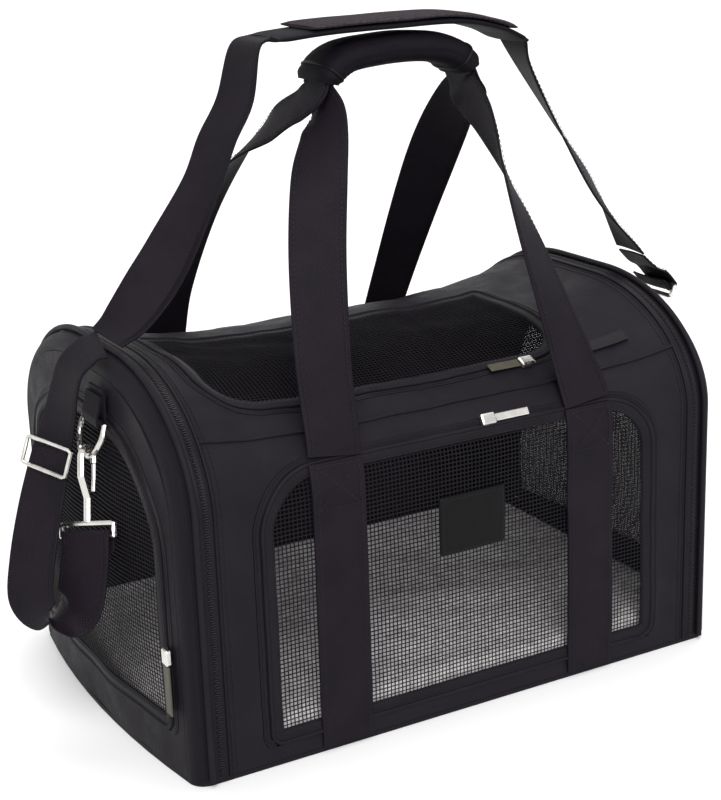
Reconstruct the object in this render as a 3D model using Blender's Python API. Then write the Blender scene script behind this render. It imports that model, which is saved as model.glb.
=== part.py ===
"""A soft-sided pet carrier bag, standing at rest, in metres: +X runs along its length, -Y is the window
side, +Z is up, and the origin is the middle of the base where it meets the floor.

The walls are sheets given a thickness inwards. The front, roof and back lie on one wrap surface, read by
wrap(x, s), where s is the distance round the wall from the front of the base. Webbing is a ribbon along a
short list of points, and wire is a bevelled curve."""

import math

import bmesh
import bpy
import numpy as np
from mathutils import Matrix, Vector

# Overall size of the sewn body
LENGTH = 0.418
DEPTH = 0.284
HEIGHT = 0.260
SHOULDER_DEPTH = 0.113
SHOULDER_RISE = 0.081
ROOF_SAG = 0.018
END_BULGE = 0.010

# Cloth, boards and the clearance between pieces that touch
CLOTH = 0.003
MESH_CLOTH = 0.001
FRAME_CLOTH = 0.0016
BASE_THICKNESS = 0.003
BOARD_THICKNESS = 0.003
PAD_THICKNESS = 0.024
GAP = 0.0003

# End bands, hoops and zips
BAND_RADIUS = 0.012
COLLAPSE_ZIP_WIDTH = 0.012
HOOP_RADIUS = 0.0022
ZIP_WIDTH = 0.0045
ZIP_THICKNESS = 0.0018
ZIP_PROUD = 0.0006
FRAME_WIDTH = 0.010

# Doors: front window, top lid and the two ends
DOOR_HALF_LENGTH = 0.155
DOOR_BOTTOM = 0.014
DOOR_TOP = HEIGHT - 0.057
DOOR_CORNER = 0.045
LID_LEFT = -0.165
LID_RIGHT = 0.115
LID_FRONT_Y = -0.104
LID_REAR_Y = 0.025
LID_CORNER = 0.038
END_DOOR_HALF_WIDTH = 0.118
END_DOOR_BOTTOM = 0.030
END_DOOR_TOP = HEIGHT - 0.036
END_DOOR_CORNER_DEPTH = 0.095
END_DOOR_CORNER_RISE = 0.072
END_DOOR_CROWN = 0.006
LABEL_LENGTH = 0.051
LABEL_HEIGHT = 0.041
LABEL_MIDDLE = (0.002, DOOR_TOP - 0.0655)

# Webbing
WEBBING_WIDTH = 0.038
WEBBING_THICKNESS = 0.0018
STRAP_SPACING = 0.197
SEAM_HEIGHT = HEIGHT - 0.060

# Handle wrap and shoulder pad
WRAP_WIDTH = 0.046
WRAP_HEIGHT = 0.021
WRAP_WALL = 0.0045
SHOULDER_PAD_WIDTH = 0.052
SHOULDER_PAD_THICKNESS = 0.009

# Hardware
D_RING_WIRE = 0.0019
D_RING_HALF_WIDTH = 0.019
D_RING_DROP = 0.024
RING_TAB_WIDTH = 0.025
HOOK_WIRE = 0.0026
SLIDER_LENGTH = 0.011
SLIDER_WIDTH = 0.008
SLIDER_HEIGHT = 0.0045
PULL_THICKNESS = 0.0014

# Worked out from the sizes above
HALF_LENGTH = LENGTH / 2
HALF_DEPTH = DEPTH / 2
WALL_START = BASE_THICKNESS + GAP
BAND_START = HALF_LENGTH - BAND_RADIUS
WALL_END = BAND_START - GAP - COLLAPSE_ZIP_WIDTH - GAP
ZIP_SLOT = GAP + ZIP_WIDTH + GAP
PAD_BOTTOM = WALL_START + BOARD_THICKNESS + GAP
CABIN_FLOOR = PAD_BOTTOM + PAD_THICKNESS

SIDE_POINTS = 10
ROUND_POINTS = 49

BLACK_CLOTH = (0.022, 0.018, 0.024)
DARK_MESH = (0.018, 0.015, 0.020)
BLACK_WEBBING = (0.020, 0.016, 0.021)
GREY_CLOTH = (0.070, 0.060, 0.065)
FLEECE = (0.420, 0.390, 0.380)
NICKEL = (0.700, 0.690, 0.660)
RUBBER = (0.060, 0.052, 0.035)
BOARD = (0.030, 0.028, 0.030)


def clear_scene():
    """Remove every object that the file starts with."""
    for obj in list(bpy.data.objects):
        bpy.data.objects.remove(obj, do_unlink=True)


def material(name, colour, roughness, metallic=0.0):
    """A Principled material of one plain colour."""
    made = bpy.data.materials.new(name)
    made.use_nodes = True
    shader = made.node_tree.nodes["Principled BSDF"]
    shader.inputs["Base Color"].default_value = (*colour, 1.0)
    shader.inputs["Roughness"].default_value = roughness
    shader.inputs["Metallic"].default_value = metallic
    return made


def add_object(name, data, colour, roughness=0.8, metallic=0.0):
    """Link a mesh or a curve to the scene under the node's name."""
    obj = bpy.data.objects.new(name, data)
    data.materials.append(material(name, colour, roughness, metallic))
    bpy.context.scene.collection.objects.link(obj)
    return obj


def mesh_from(name, points, faces):
    """A mesh from points and faces, shaded smooth except over sharp edges."""
    data = bpy.data.meshes.new(name)
    data.from_pydata([tuple(map(float, point)) for point in points], [], faces)
    data.update()
    data.shade_smooth()
    data.set_sharp_from_angle(angle=math.radians(35))
    return data


def shell(name, outer, inner, faces, colour):
    """A closed sheet: its outer points, its inner points in the same order, and a rim round each border."""
    count = len(outer)
    edges = {(a, b) for face in faces for a, b in zip(face, face[1:] + face[:1])}
    rim = [(b, a, a + count, b + count) for a, b in sorted(edges) if (b, a) not in edges]
    back = [tuple(n + count for n in face[::-1]) for face in faces]
    return add_object(name, mesh_from(name, np.vstack([outer, inner]), faces + back + rim), colour)


def laid(name, u, v, faces, surface, proud, thickness, colour):
    """A shell laid on a surface: its outer face stands proud of it, and its thickness goes inwards."""
    outer = surface(u, v, proud).reshape(-1, 3)
    inner = surface(u, v, proud - thickness).reshape(-1, 3)
    return shell(name, outer, inner, faces, colour)


# ---------------------------------------------------------------- the wrap surface


def section():
    """The wall's outline across the bag, front to back: straight side, elliptic shoulder, flat top."""
    turn = np.linspace(0, math.pi / 2, 40)
    rise = HEIGHT - SHOULDER_RISE
    side = np.column_stack([np.full(30, -HALF_DEPTH), np.linspace(0, rise, 30)])
    shoulder = np.column_stack(
        [
            -HALF_DEPTH + SHOULDER_DEPTH * (1 - np.cos(turn)),
            rise + SHOULDER_RISE * np.sin(turn),
        ]
    )
    half = np.vstack([side, shoulder[1:]])
    return np.vstack([half, half[::-1] * [-1, 1]])


SECTION = section()
STEPS = np.hypot(*np.diff(SECTION, axis=0).T)
SECTION_S = np.concatenate([[0], np.cumsum(STEPS)])
WRAP_LENGTH = float(SECTION_S[-1])


def s_at_y(y):
    """Distance round the wall to where the roof stands at depth y."""
    order = slice(29, len(SECTION) - 29)
    return float(np.interp(y, SECTION[order, 0], SECTION_S[order]))


def smooth(value):
    """0 below 0, 1 above 1, and an S-curve between."""
    t = np.clip(value, 0, 1)
    return t * t * (3 - 2 * t)


def sag(x, z):
    """How far the roof hangs below the line between the two end hoops."""
    along = 1 - np.clip(np.abs(x) / WALL_END, 0, 1) ** 4
    sag_start = HEIGHT - SHOULDER_RISE + 0.012
    return ROOF_SAG * along * smooth((z - sag_start) / (HEIGHT - sag_start))


def wrap_plain(x, s):
    """Points of the wall's outer face at length x and distance round s."""
    y = np.interp(s, SECTION_S, SECTION[:, 0])
    z = np.interp(s, SECTION_S, SECTION[:, 1])
    return np.stack([x, y, z - sag(x, z)], axis=-1)


def wrap(x, s, proud=0.0):
    """The same, moved outwards by proud along the wall's normal."""
    x, s = np.broadcast_arrays(np.asarray(x, float), np.asarray(s, float))
    step = 0.002
    along = wrap_plain(x + step, s) - wrap_plain(x - step, s)
    around = wrap_plain(x, s + step) - wrap_plain(x, s - step)
    normal = np.cross(along, around)
    normal /= np.linalg.norm(normal, axis=-1, keepdims=True)
    return wrap_plain(x, s) + np.asarray(proud)[..., None] * normal


def end_bulge(y, z):
    """How far an end panel stands out beyond its hoop: most low down in the middle."""
    across = 1 - np.clip(np.abs(y) / (HALF_DEPTH - BAND_RADIUS), 0, 1) ** 2
    up = 1 - np.clip(z / (HEIGHT - BAND_RADIUS), 0, 1) ** 3
    return END_BULGE * across * up


def end_face(y, z, proud=0.0):
    """Points of the right end's outer face."""
    y, z = np.broadcast_arrays(np.asarray(y, float), np.asarray(z, float))
    return np.stack([HALF_LENGTH + end_bulge(y, z) + proud, y, z], axis=-1)


def end_crown(y, z):
    """The extra swell of an end door inside its outline."""
    across = 1 - np.clip(np.abs(y) / END_DOOR_HALF_WIDTH, 0, 1) ** 2
    middle = (END_DOOR_BOTTOM + END_DOOR_TOP) / 2
    up = 1 - np.clip(np.abs(z - middle) / (END_DOOR_TOP - middle), 0, 1) ** 2
    return END_DOOR_CROWN * across * up


# ---------------------------------------------------------------- sheets


def outline(low, high, bottom_radii, top_radii, grow=0.0, corner_points=7, side_points=SIDE_POINTS):
    """A closed loop round a box with elliptic corners, anticlockwise from the bottom right corner."""
    low = np.array(low, float) - grow
    high = np.array(high, float) + grow
    bottom = np.maximum(np.array(bottom_radii, float) + grow, 0.001)
    top = np.maximum(np.array(top_radii, float) + grow, 0.001)
    corners = [
        (high[0] - bottom[0], low[1] + bottom[1], bottom, -0.5 * math.pi),
        (high[0] - top[0], high[1] - top[1], top, 0.0),
        (low[0] + top[0], high[1] - top[1], top, 0.5 * math.pi),
        (low[0] + bottom[0], low[1] + bottom[1], bottom, math.pi),
    ]
    arcs = []
    for u, v, radii, start in corners:
        turn = np.linspace(start, start + math.pi / 2, corner_points)
        arcs.append(np.column_stack([u + radii[0] * np.cos(turn), v + radii[1] * np.sin(turn)]))
    loop = []
    for arc, following in zip(arcs, arcs[1:] + arcs[:1]):
        share = np.linspace(0, 1, side_points + 1)[1:-1, None]
        loop += [arc, arc[-1] * (1 - share) + following[0] * share]
    return np.vstack(loop)


def grid_faces(rows, columns, closed):
    """Quads between the rows of a grid of points. A closed grid joins its last column to its first."""
    last = columns if closed else columns - 1
    return [
        (
            row * columns + column,
            row * columns + (column + 1) % columns,
            (row + 1) * columns + (column + 1) % columns,
            (row + 1) * columns + column,
        )
        for row in range(rows - 1)
        for column in range(last)
    ]


def ring(name, outer, inner, surface, thickness, colour, rings=4, proud=0.0):
    """A sheet between two loops, laid on a surface."""
    share = np.linspace(0, 1, rings)[:, None, None]
    flat = outer * (1 - share) + inner * share
    faces = grid_faces(rings, len(outer), True)
    return laid(name, flat[..., 0], flat[..., 1], faces, surface, proud, thickness, colour)


def patch(name, loop, surface, thickness, colour, rings=6, proud=0.0):
    """A sheet that fills a loop, laid on a surface, in rings round its middle."""
    middle = (loop.min(0) + loop.max(0)) / 2
    share = np.linspace(1, 0, rings + 1)[:-1, None, None]
    flat = np.vstack([(middle + (loop - middle) * share).reshape(-1, 2), middle])
    count = len(loop)
    faces = grid_faces(rings, count, True)
    inner = (rings - 1) * count
    faces += [(inner + n, inner + (n + 1) % count, rings * count) for n in range(count)]
    return laid(name, flat[:, 0], flat[:, 1], faces, surface, proud, thickness, colour)


def strip(name, columns, rows, surface, thickness, colour, proud=0.0):
    """A rectangular sheet on a surface. columns run anticlockwise of rows, seen from outside."""
    u, v = np.meshgrid(columns, rows)
    faces = grid_faces(len(rows), len(columns), False)
    return laid(name, u, v, faces, surface, proud, thickness, colour)


def zip_track(name, loop_at, surface, first, last):
    """A zip's tape and coil, three sides round a door: from the loop's point first on to last."""
    inner = loop_at(GAP)
    outer = loop_at(GAP + ZIP_WIDTH)
    picked = np.arange(first, last) % len(inner)
    u, v = np.moveaxis(np.stack([outer[picked], inner[picked]]), -1, 0)
    faces = grid_faces(2, len(picked), False)
    return laid(name, u, v, faces, surface, ZIP_PROUD, ZIP_THICKNESS, DARK_MESH)


def slab(name, low, high, colour, bevel=0.0, segments=2):
    """A box between two corners, with its edges rounded."""
    data = bpy.data.meshes.new(name)
    build = bmesh.new()
    bmesh.ops.create_cube(build, size=1.0)
    low, high = Vector(low), Vector(high)
    bmesh.ops.scale(build, vec=high - low, verts=build.verts)
    bmesh.ops.translate(build, vec=(low + high) / 2, verts=build.verts)
    build.to_mesh(data)
    build.free()
    obj = add_object(name, data, colour)
    if bevel:
        edges = obj.modifiers.new("Edges", "BEVEL")
        edges.width = bevel
        edges.segments = segments
    return obj


# ---------------------------------------------------------------- webbing, wire and sweeps


def curve_through(points, count):
    """A smooth curve through the given points, read at even steps (Catmull-Rom)."""
    points = np.array(points, float)
    ends = np.vstack([2 * points[0] - points[1], points, 2 * points[-1] - points[-2]])
    places = np.linspace(0, len(points) - 1, count)
    first = np.minimum(places.astype(int), len(points) - 2)
    t = (places - first)[:, None]
    a, b, c, d = (ends[first + n] for n in range(4))
    return 0.5 * (
        2 * b + (c - a) * t + (2 * a - 5 * b + 4 * c - d) * t**2 + (3 * b - a - 3 * c + d) * t**3
    )


def frames_along(path, across):
    """Unit side and face directions at each point of a ribbon."""
    tangent = np.gradient(path, axis=0)
    tangent /= np.linalg.norm(tangent, axis=1, keepdims=True)
    side = across - (across * tangent).sum(1, keepdims=True) * tangent
    side /= np.linalg.norm(side, axis=1, keepdims=True)
    return side, np.cross(side, tangent)


def webbing(name, route, count, colour=BLACK_WEBBING, width=WEBBING_WIDTH, shift=0.0):
    """Flat webbing along a route of (point, side direction, width share) rows.

    The ribbon's middle plane is moved by shift along the face direction, side x travel. Its steps are split
    into triangles the same way on both faces, so that a twist keeps its thickness."""
    rows = np.array([[*point, *side, share] for point, side, share in route])
    read = curve_through(rows, count)
    path = read[:, :3]
    side, face = frames_along(path, read[:, 3:6])
    half = width / 2 * read[:, 6:7]
    layers = []
    for height in (shift + WEBBING_THICKNESS / 2, shift - WEBBING_THICKNESS / 2):
        middle = path + face * height
        layers.append(np.stack([middle - side * half, middle + side * half], axis=1).reshape(-1, 3))
    corners = [(2 * n, 2 * n + 1, 2 * n + 3, 2 * n + 2) for n in range(count - 1)]
    faces = [half for a, b, c, d in corners for half in ((a, b, c), (a, c, d))]
    return shell(name, *layers, faces, colour)


def sweep(name, profile, path, across, colour, shares=None, roughness=0.8):
    """A closed profile of (side, face) points carried along a path, with its ends closed."""
    side, face = frames_along(path, across)
    shares = np.ones(len(path)) if shares is None else shares
    local = profile[None] * shares[:, None, None]
    points = path[:, None] + side[:, None] * local[..., :1] + face[:, None] * local[..., 1:]
    count = len(profile)
    faces = [face[::-1] for face in grid_faces(len(path), count, True)]
    faces.append(tuple(range(count)))
    faces.append(tuple((len(path) - 1) * count + n for n in range(count))[::-1])
    return add_object(name, mesh_from(name, points.reshape(-1, 3), faces), colour, roughness)


def oval(width, height, points=16, power=2.6):
    """A closed oval, squarer than an ellipse, anticlockwise."""
    turn = np.arange(points) * 2 * math.pi / points
    cos, sin = np.cos(turn), np.sin(turn)
    return np.column_stack(
        [
            width / 2 * np.sign(cos) * np.abs(cos) ** (2 / power),
            height / 2 * np.sign(sin) * np.abs(sin) ** (2 / power),
        ]
    )


def wire(name, points, radius, colour, closed=False, resolution=2, metallic=0.0, roughness=0.5):
    """Round wire along a list of points: a bevelled curve with its ends filled."""
    data = bpy.data.curves.new(name, "CURVE")
    data.dimensions = "3D"
    spline = data.splines.new("POLY")
    spline.points.add(len(points) - 1)
    for place, point in zip(spline.points, points):
        place.co = (*map(float, point), 1.0)
    spline.use_cyclic_u = closed
    data.bevel_depth = radius
    data.bevel_resolution = resolution
    data.use_fill_caps = True
    return add_object(name, data, colour, roughness, metallic)


def arc_points(middle, u, v, radius_u, radius_v, start, end, count):
    """Points on an elliptic arc about middle, from angle start to angle end in degrees."""
    middle, u, v = (np.array(value, float) for value in (middle, u, v))
    turn = np.radians(np.linspace(start, end, count))[:, None]
    return middle + u * radius_u * np.cos(turn) + v * radius_v * np.sin(turn)


def turned_half(obj):
    """Turn a piece modelled at the right end half a turn about +Z, so it sits at the left end."""
    obj.matrix_world = Matrix.Rotation(math.pi, 4, "Z")
    return obj


def make_base():
    """The sewn base, the stiff board in it and the fleece pad that lies on the board."""
    loop = outline((-HALF_LENGTH, -HALF_DEPTH), (HALF_LENGTH, HALF_DEPTH), (0.012, 0.012), (0.012, 0.012))

    def base(x, y, height):
        reach = 1 + end_bulge(y, 0.0) / HALF_LENGTH
        return np.stack([x * reach, y, np.full_like(x, height)], axis=-1)

    patch("base_panel", loop, base, BASE_THICKNESS, BLACK_CLOTH, rings=3, proud=BASE_THICKNESS)
    clear = CLOTH + 0.003
    board_half = (HALF_LENGTH - clear, HALF_DEPTH - clear)
    slab(
        "base_board",
        (-board_half[0], -board_half[1], WALL_START),
        (board_half[0], board_half[1], WALL_START + BOARD_THICKNESS),
        BOARD,
    )
    slab(
        "fleece_pad",
        (-board_half[0], -board_half[1], PAD_BOTTOM),
        (board_half[0], board_half[1], CABIN_FLOOR),
        FLEECE,
        bevel=0.007,
        segments=3,
    )


# ---------------------------------------------------------------- walls and their doors


def door_loop(grow=0.0):
    """The front door's outline in (x, s)."""
    return outline(
        (-DOOR_HALF_LENGTH, DOOR_BOTTOM),
        (DOOR_HALF_LENGTH, DOOR_TOP),
        (0.010, 0.010),
        (DOOR_CORNER, DOOR_CORNER),
        grow,
    )


def lid_loop(grow=0.0):
    """The lid's outline in (x, s). Its front edge is the low s edge."""
    return outline(
        (LID_LEFT, s_at_y(LID_FRONT_Y)),
        (LID_RIGHT, s_at_y(LID_REAR_Y)),
        (LID_CORNER, LID_CORNER),
        (0.008, 0.008),
        grow,
    )


def end_door_loop(grow=0.0):
    """An end door's outline in (y, z)."""
    return outline(
        (-END_DOOR_HALF_WIDTH, END_DOOR_BOTTOM),
        (END_DOOR_HALF_WIDTH, END_DOOR_TOP),
        (0.010, 0.010),
        (END_DOOR_CORNER_DEPTH, END_DOOR_CORNER_RISE),
        grow,
    )


def wall_box(s_low, s_high):
    """The outline of a wall panel between the two end zips."""
    return outline((-WALL_END, s_low), (WALL_END, s_high), (0.002, 0.002), (0.002, 0.002))


def front_door_hole():
    """The opening in the front panel: wider than the door by the zip, but not along its hinge."""
    loop = door_loop(ZIP_SLOT)
    loop[:, 1] = np.maximum(loop[:, 1], DOOR_BOTTOM - GAP)
    return loop


def lid_hole():
    """The opening in the roof panel: wider than the lid by the zip, but not along its hinge."""
    loop = lid_loop(ZIP_SLOT)
    loop[:, 1] = np.minimum(loop[:, 1], s_at_y(LID_REAR_Y) + GAP)
    return loop


def end_door_hole():
    """The opening in an end panel: wider than the door by the zip, but not along its hinge."""
    loop = end_door_loop(ZIP_SLOT)
    loop[:, 1] = np.maximum(loop[:, 1], END_DOOR_BOTTOM - GAP)
    return loop


def make_walls():
    """Front panel with its window opening, roof with its lid opening, and the plain back."""
    front_seam = (DOOR_TOP + ZIP_SLOT + s_at_y(LID_FRONT_Y) - ZIP_SLOT) / 2
    back_seam = WRAP_LENGTH - front_seam
    front = wall_box(WALL_START, front_seam - GAP / 2)
    ring("front_panel", front, front_door_hole(), wrap, CLOTH, BLACK_CLOTH)
    roof = wall_box(front_seam + GAP / 2, back_seam - GAP / 2)
    ring("roof_panel", roof, lid_hole(), wrap, CLOTH, BLACK_CLOTH, rings=6)
    lengths = np.linspace(-WALL_END + 0.002, WALL_END - 0.002, SIDE_POINTS + 1)
    lengths = np.concatenate([[-WALL_END], lengths, [WALL_END]])
    rounds = np.linspace(back_seam + GAP / 2, WRAP_LENGTH - WALL_START, 10)
    strip("back_panel", lengths, rounds, wrap, CLOTH, BLACK_CLOTH)


def make_wall_door(prefix, loop_at):
    """A mesh door on the wrap surface: its taped frame and the mesh in it."""
    ring(f"{prefix}_frame", loop_at(), loop_at(-FRAME_WIDTH), wrap, FRAME_CLOTH, BLACK_CLOTH, rings=2)
    mesh_loop = loop_at(-FRAME_WIDTH - GAP)
    patch(f"{prefix}_mesh", mesh_loop, wrap, MESH_CLOTH, DARK_MESH, proud=-GAP)


def make_label():
    """The blank patch sewn on the middle of the front door."""
    middle = np.array(LABEL_MIDDLE)
    half = np.array([LABEL_LENGTH, LABEL_HEIGHT]) / 2
    loop = outline(middle - half, middle + half, (0.002, 0.002), (0.002, 0.002), 0, 3, 2)
    patch("label_patch", loop, wrap, 0.0012, BLACK_CLOTH, rings=1, proud=0.0012)


def loop_index(corner, corner_points=7, side_points=SIDE_POINTS):
    """Where a corner's arc starts in an outline: 0 bottom right, 1 top right, 2 top left, 3 bottom left."""
    return corner * (corner_points + side_points - 1)


def make_zips():
    """The zips round three sides of the front door and the lid."""
    count = len(door_loop())
    zip_track("front_door_zip", door_loop, wrap, loop_index(0) + 6, loop_index(3) + 1)
    zip_track("lid_zip", lid_loop, wrap, loop_index(2) + 6, count + loop_index(1) + 1)


def end_panel_loop():
    """The right end panel's outline in (y, z): just inside the band, and straight along the base.

    It starts half a corner before the back bottom corner, so that its points pair up with the door's."""
    rounds = np.linspace(WRAP_LENGTH - WALL_START, WALL_START, ROUND_POINTS)
    over = wrap(BAND_START, rounds, -BAND_RADIUS - GAP)[:, 1:]
    share = np.linspace(0, 1, len(end_door_loop()) - ROUND_POINTS + 2)[1:-1, None]
    along = over[-1] * (1 - share) + over[0] * share
    return np.roll(np.vstack([over, along]), 3, axis=0)


def make_end(place, side):
    """An end of the bag, modelled at the right end and then placed: panel, door, band, hoop and zips."""

    def door_face(y, z, proud):
        face = end_face(y, z, proud)
        face[..., 0] += end_crown(face[..., 1], face[..., 2])
        return face

    def band(turn, s, proud):
        radius = BAND_RADIUS + proud
        return wrap(BAND_START + radius * np.sin(turn), s, radius * np.cos(turn) - BAND_RADIUS)

    loop = end_door_loop()
    inside = end_door_loop(-FRAME_WIDTH)
    mesh_loop = end_door_loop(-FRAME_WIDTH - GAP)
    rounds = np.linspace(WALL_START, WRAP_LENGTH - WALL_START, ROUND_POINTS)
    zip_edges = [WALL_END + GAP, WALL_END + GAP + COLLAPSE_ZIP_WIDTH]
    turns = np.radians(np.linspace(0, 90, 4))
    track = loop_index(0) + 6, loop_index(3) + 1
    hoop = wrap(BAND_START + 0.0010, rounds, HOOP_RADIUS + GAP)
    pieces = [
        ring(f"{side}_end_panel", end_panel_loop(), end_door_hole(), end_face, CLOTH, BLACK_CLOTH),
        ring(f"{side}_door_frame", loop, inside, door_face, FRAME_CLOTH, BLACK_CLOTH, rings=2),
        patch(f"{side}_door_mesh", mesh_loop, door_face, MESH_CLOTH, DARK_MESH, proud=-GAP),
        zip_track(f"{side}_door_zip", end_door_loop, end_face, *track),
        strip(f"{side}_end_band", turns, rounds, band, CLOTH * 0.6, BLACK_CLOTH),
        strip(f"{side}_collapse_zip", zip_edges, rounds, wrap, ZIP_THICKNESS, DARK_MESH),
        wire(f"{side}_hoop", hoop, HOOP_RADIUS, BLACK_CLOTH, resolution=1),
    ]
    for piece in pieces:
        place(piece)


# ---------------------------------------------------------------- sliders and pulls


def make_slider(name, middle, along, outward, hang):
    """A zip slider on its track, with its pull. hang is the direction the pull lies in, along the track."""
    middle, along, outward = (Vector(value) for value in (middle, along, outward))
    across = outward.cross(along)
    turn = Matrix((along, across, outward)).transposed().to_4x4()
    half = Vector((SLIDER_LENGTH, SLIDER_WIDTH, SLIDER_HEIGHT)) / 2
    body = slab(name, -half, half, NICKEL, bevel=0.0012)
    centre = middle + outward * (ZIP_PROUD + 2 * GAP + SLIDER_HEIGHT / 2)
    body.matrix_world = Matrix.Translation(centre) @ turn
    return centre, Vector(hang)


def make_pull(name, pivot, hang, across, length, width, colour):
    """A slider's pull: a flat tongue that hinges about the across direction at its pivot."""
    hang, across = Vector(hang), Vector(across)
    outward = across.cross(hang)
    turn = Matrix((hang, across, outward)).transposed().to_4x4()
    low = (-0.0004, -width / 2, -PULL_THICKNESS / 2)
    pull = slab(name, low, (length, width / 2, PULL_THICKNESS / 2), colour, bevel=0.0005, segments=1)
    pull.matrix_world = Matrix.Translation(Vector(pivot)) @ turn
    return pull


def on_wrap(x, s, proud=0.0):
    """A point on the wrap surface, with its outward direction and the direction round the wall."""
    point = wrap(x, s, proud)
    outward = wrap(x, s, 1.0) - wrap(x, s)
    around = wrap(x, s + 0.001) - wrap(x, s)
    return point, Vector(outward).normalized(), Vector(around).normalized()


PULL_REACH = SLIDER_LENGTH / 2 + GAP + PULL_THICKNESS / 2
TRACK_MIDDLE = GAP + ZIP_WIDTH / 2
FRONT_SLIDER_X = 0.017
LID_SLIDER_X = 0.070
END_SLIDER_Z = 0.086
COLLAPSE_SLIDER_Z = 0.045


def make_sliders():
    """The sliders and pulls of the front door, the lid and the end doors, and the end zips' sliders."""
    point, outward, _ = on_wrap(FRONT_SLIDER_X, DOOR_TOP + TRACK_MIDDLE)
    centre, hang = make_slider("front_door_slider", point, (1, 0, 0), outward, (1, 0, 0))
    pivot = centre + hang * PULL_REACH + outward * 0.0005
    around = outward.cross(hang)
    make_pull("front_door_pull", pivot, hang, around, 0.026, 0.005, NICKEL)

    point, outward, _ = on_wrap(LID_SLIDER_X, s_at_y(LID_FRONT_Y) - TRACK_MIDDLE)
    centre, hang = make_slider("lid_slider", point, (1, 0, 0), outward, (-1, 0, 0))
    pivot = centre + hang * PULL_REACH + outward * 0.0005
    make_pull("lid_pull", pivot, hang, outward.cross(hang), 0.024, 0.007, RUBBER)

    for side, sign in (("right", 1), ("left", -1)):
        y = -END_DOOR_HALF_WIDTH - TRACK_MIDDLE
        x = sign * float(end_face(y, END_SLIDER_Z)[0])
        out = Vector((sign, 0, 0))
        centre, _ = make_slider(f"{side}_door_slider", (x, y, END_SLIDER_Z), (0, 0, 1), out, (0, 0, -1))
        pivot = centre + Vector((sign * 0.0005, 0, -PULL_REACH))
        make_pull(f"{side}_door_pull", pivot, (0, 0, -1), out.cross(Vector((0, 0, -1))), 0.034, 0.009, RUBBER)
        middle = (sign * (WALL_END + GAP + COLLAPSE_ZIP_WIDTH / 2), HALF_DEPTH - ZIP_PROUD, COLLAPSE_SLIDER_Z)
        make_slider(f"{side}_collapse_slider", middle, (0, 0, 1), (0, 1, 0), (0, 0, -1))


def make_zip_end_tab():
    """The folded cloth tab that covers the end of the lid's zip."""
    s = s_at_y(LID_FRONT_Y) - TRACK_MIDDLE
    lengths = np.linspace(LID_RIGHT - 0.006, LID_RIGHT + 0.040, 6)
    rounds = np.array([s - 0.005, s, s + 0.005])
    height = ZIP_PROUD + GAP + 0.0020
    strip("zip_end_tab", lengths, rounds, wrap, 0.0020, BLACK_CLOTH, proud=height)


# ---------------------------------------------------------------- carry handles


def make_sewn_straps():
    """The four runs of webbing sewn to the front and back walls, from the base up to the box stitches."""
    lift = ZIP_PROUD + GAP + WEBBING_THICKNESS
    for wall, at in (("front", lambda s: s), ("rear", lambda s: WRAP_LENGTH - s)):
        for side, sign in (("left", -1), ("right", 1)):
            edges = sign * STRAP_SPACING / 2 + np.array([-WEBBING_WIDTH, WEBBING_WIDTH]) / 2
            curve_start = HEIGHT - SHOULDER_RISE
            curved = np.linspace(curve_start, SEAM_HEIGHT, 5)
            rounds = at(np.concatenate([[WALL_START + 0.001, curve_start / 2], curved]))
            proud = lift if wall == "front" else GAP + WEBBING_THICKNESS
            name = f"{wall}_strap_{side}"
            strip(name, edges, np.sort(rounds), wrap, WEBBING_THICKNESS, BLACK_WEBBING, proud)


# The webbing's routes are drawn for a bag of these sizes, and follow moves them with the sizes it has
DRAWN_HALF_LENGTH, DRAWN_HALF_DEPTH, DRAWN_HEIGHT, DRAWN_SPACING = 0.209, 0.142, 0.260, 0.197


def follow(route, kind):
    """Move a route's points with the bag: all rise with its height.

    A leg's foot also keeps to its seam on the wall, and a shoulder strap's foot to its hoop at the end."""
    moved = []
    for point, side, share in route:
        x, y, z = point
        sign = 1 if x > 0 else -1
        if kind == "leg":
            low = 1 - float(smooth((z - 0.215) / 0.200))
            x += sign * low * (STRAP_SPACING - DRAWN_SPACING) / 2
            y += (1 if y > 0 else -1) * low * (HALF_DEPTH - DRAWN_HALF_DEPTH)
        else:
            x += sign * float(smooth((abs(x) - 0.120) / 0.060)) * (HALF_LENGTH - DRAWN_HALF_LENGTH)
        moved.append(((x, y, z + HEIGHT - DRAWN_HEIGHT), side, share))
    return moved


HANDLE_TOP = [
    (-0.0335, -0.012, 0.4130),
    (-0.0290, -0.012, 0.4250),
    (-0.0150, -0.012, 0.4340),
    (0.0100, -0.012, 0.4370),
    (0.0350, -0.012, 0.4375),
    (0.0580, -0.012, 0.4350),
    (0.0750, -0.012, 0.4270),
    (0.0830, -0.012, 0.4130),
]
ACROSS_TOP = (0, -1, 0)
LAYER = 0.0022


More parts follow.
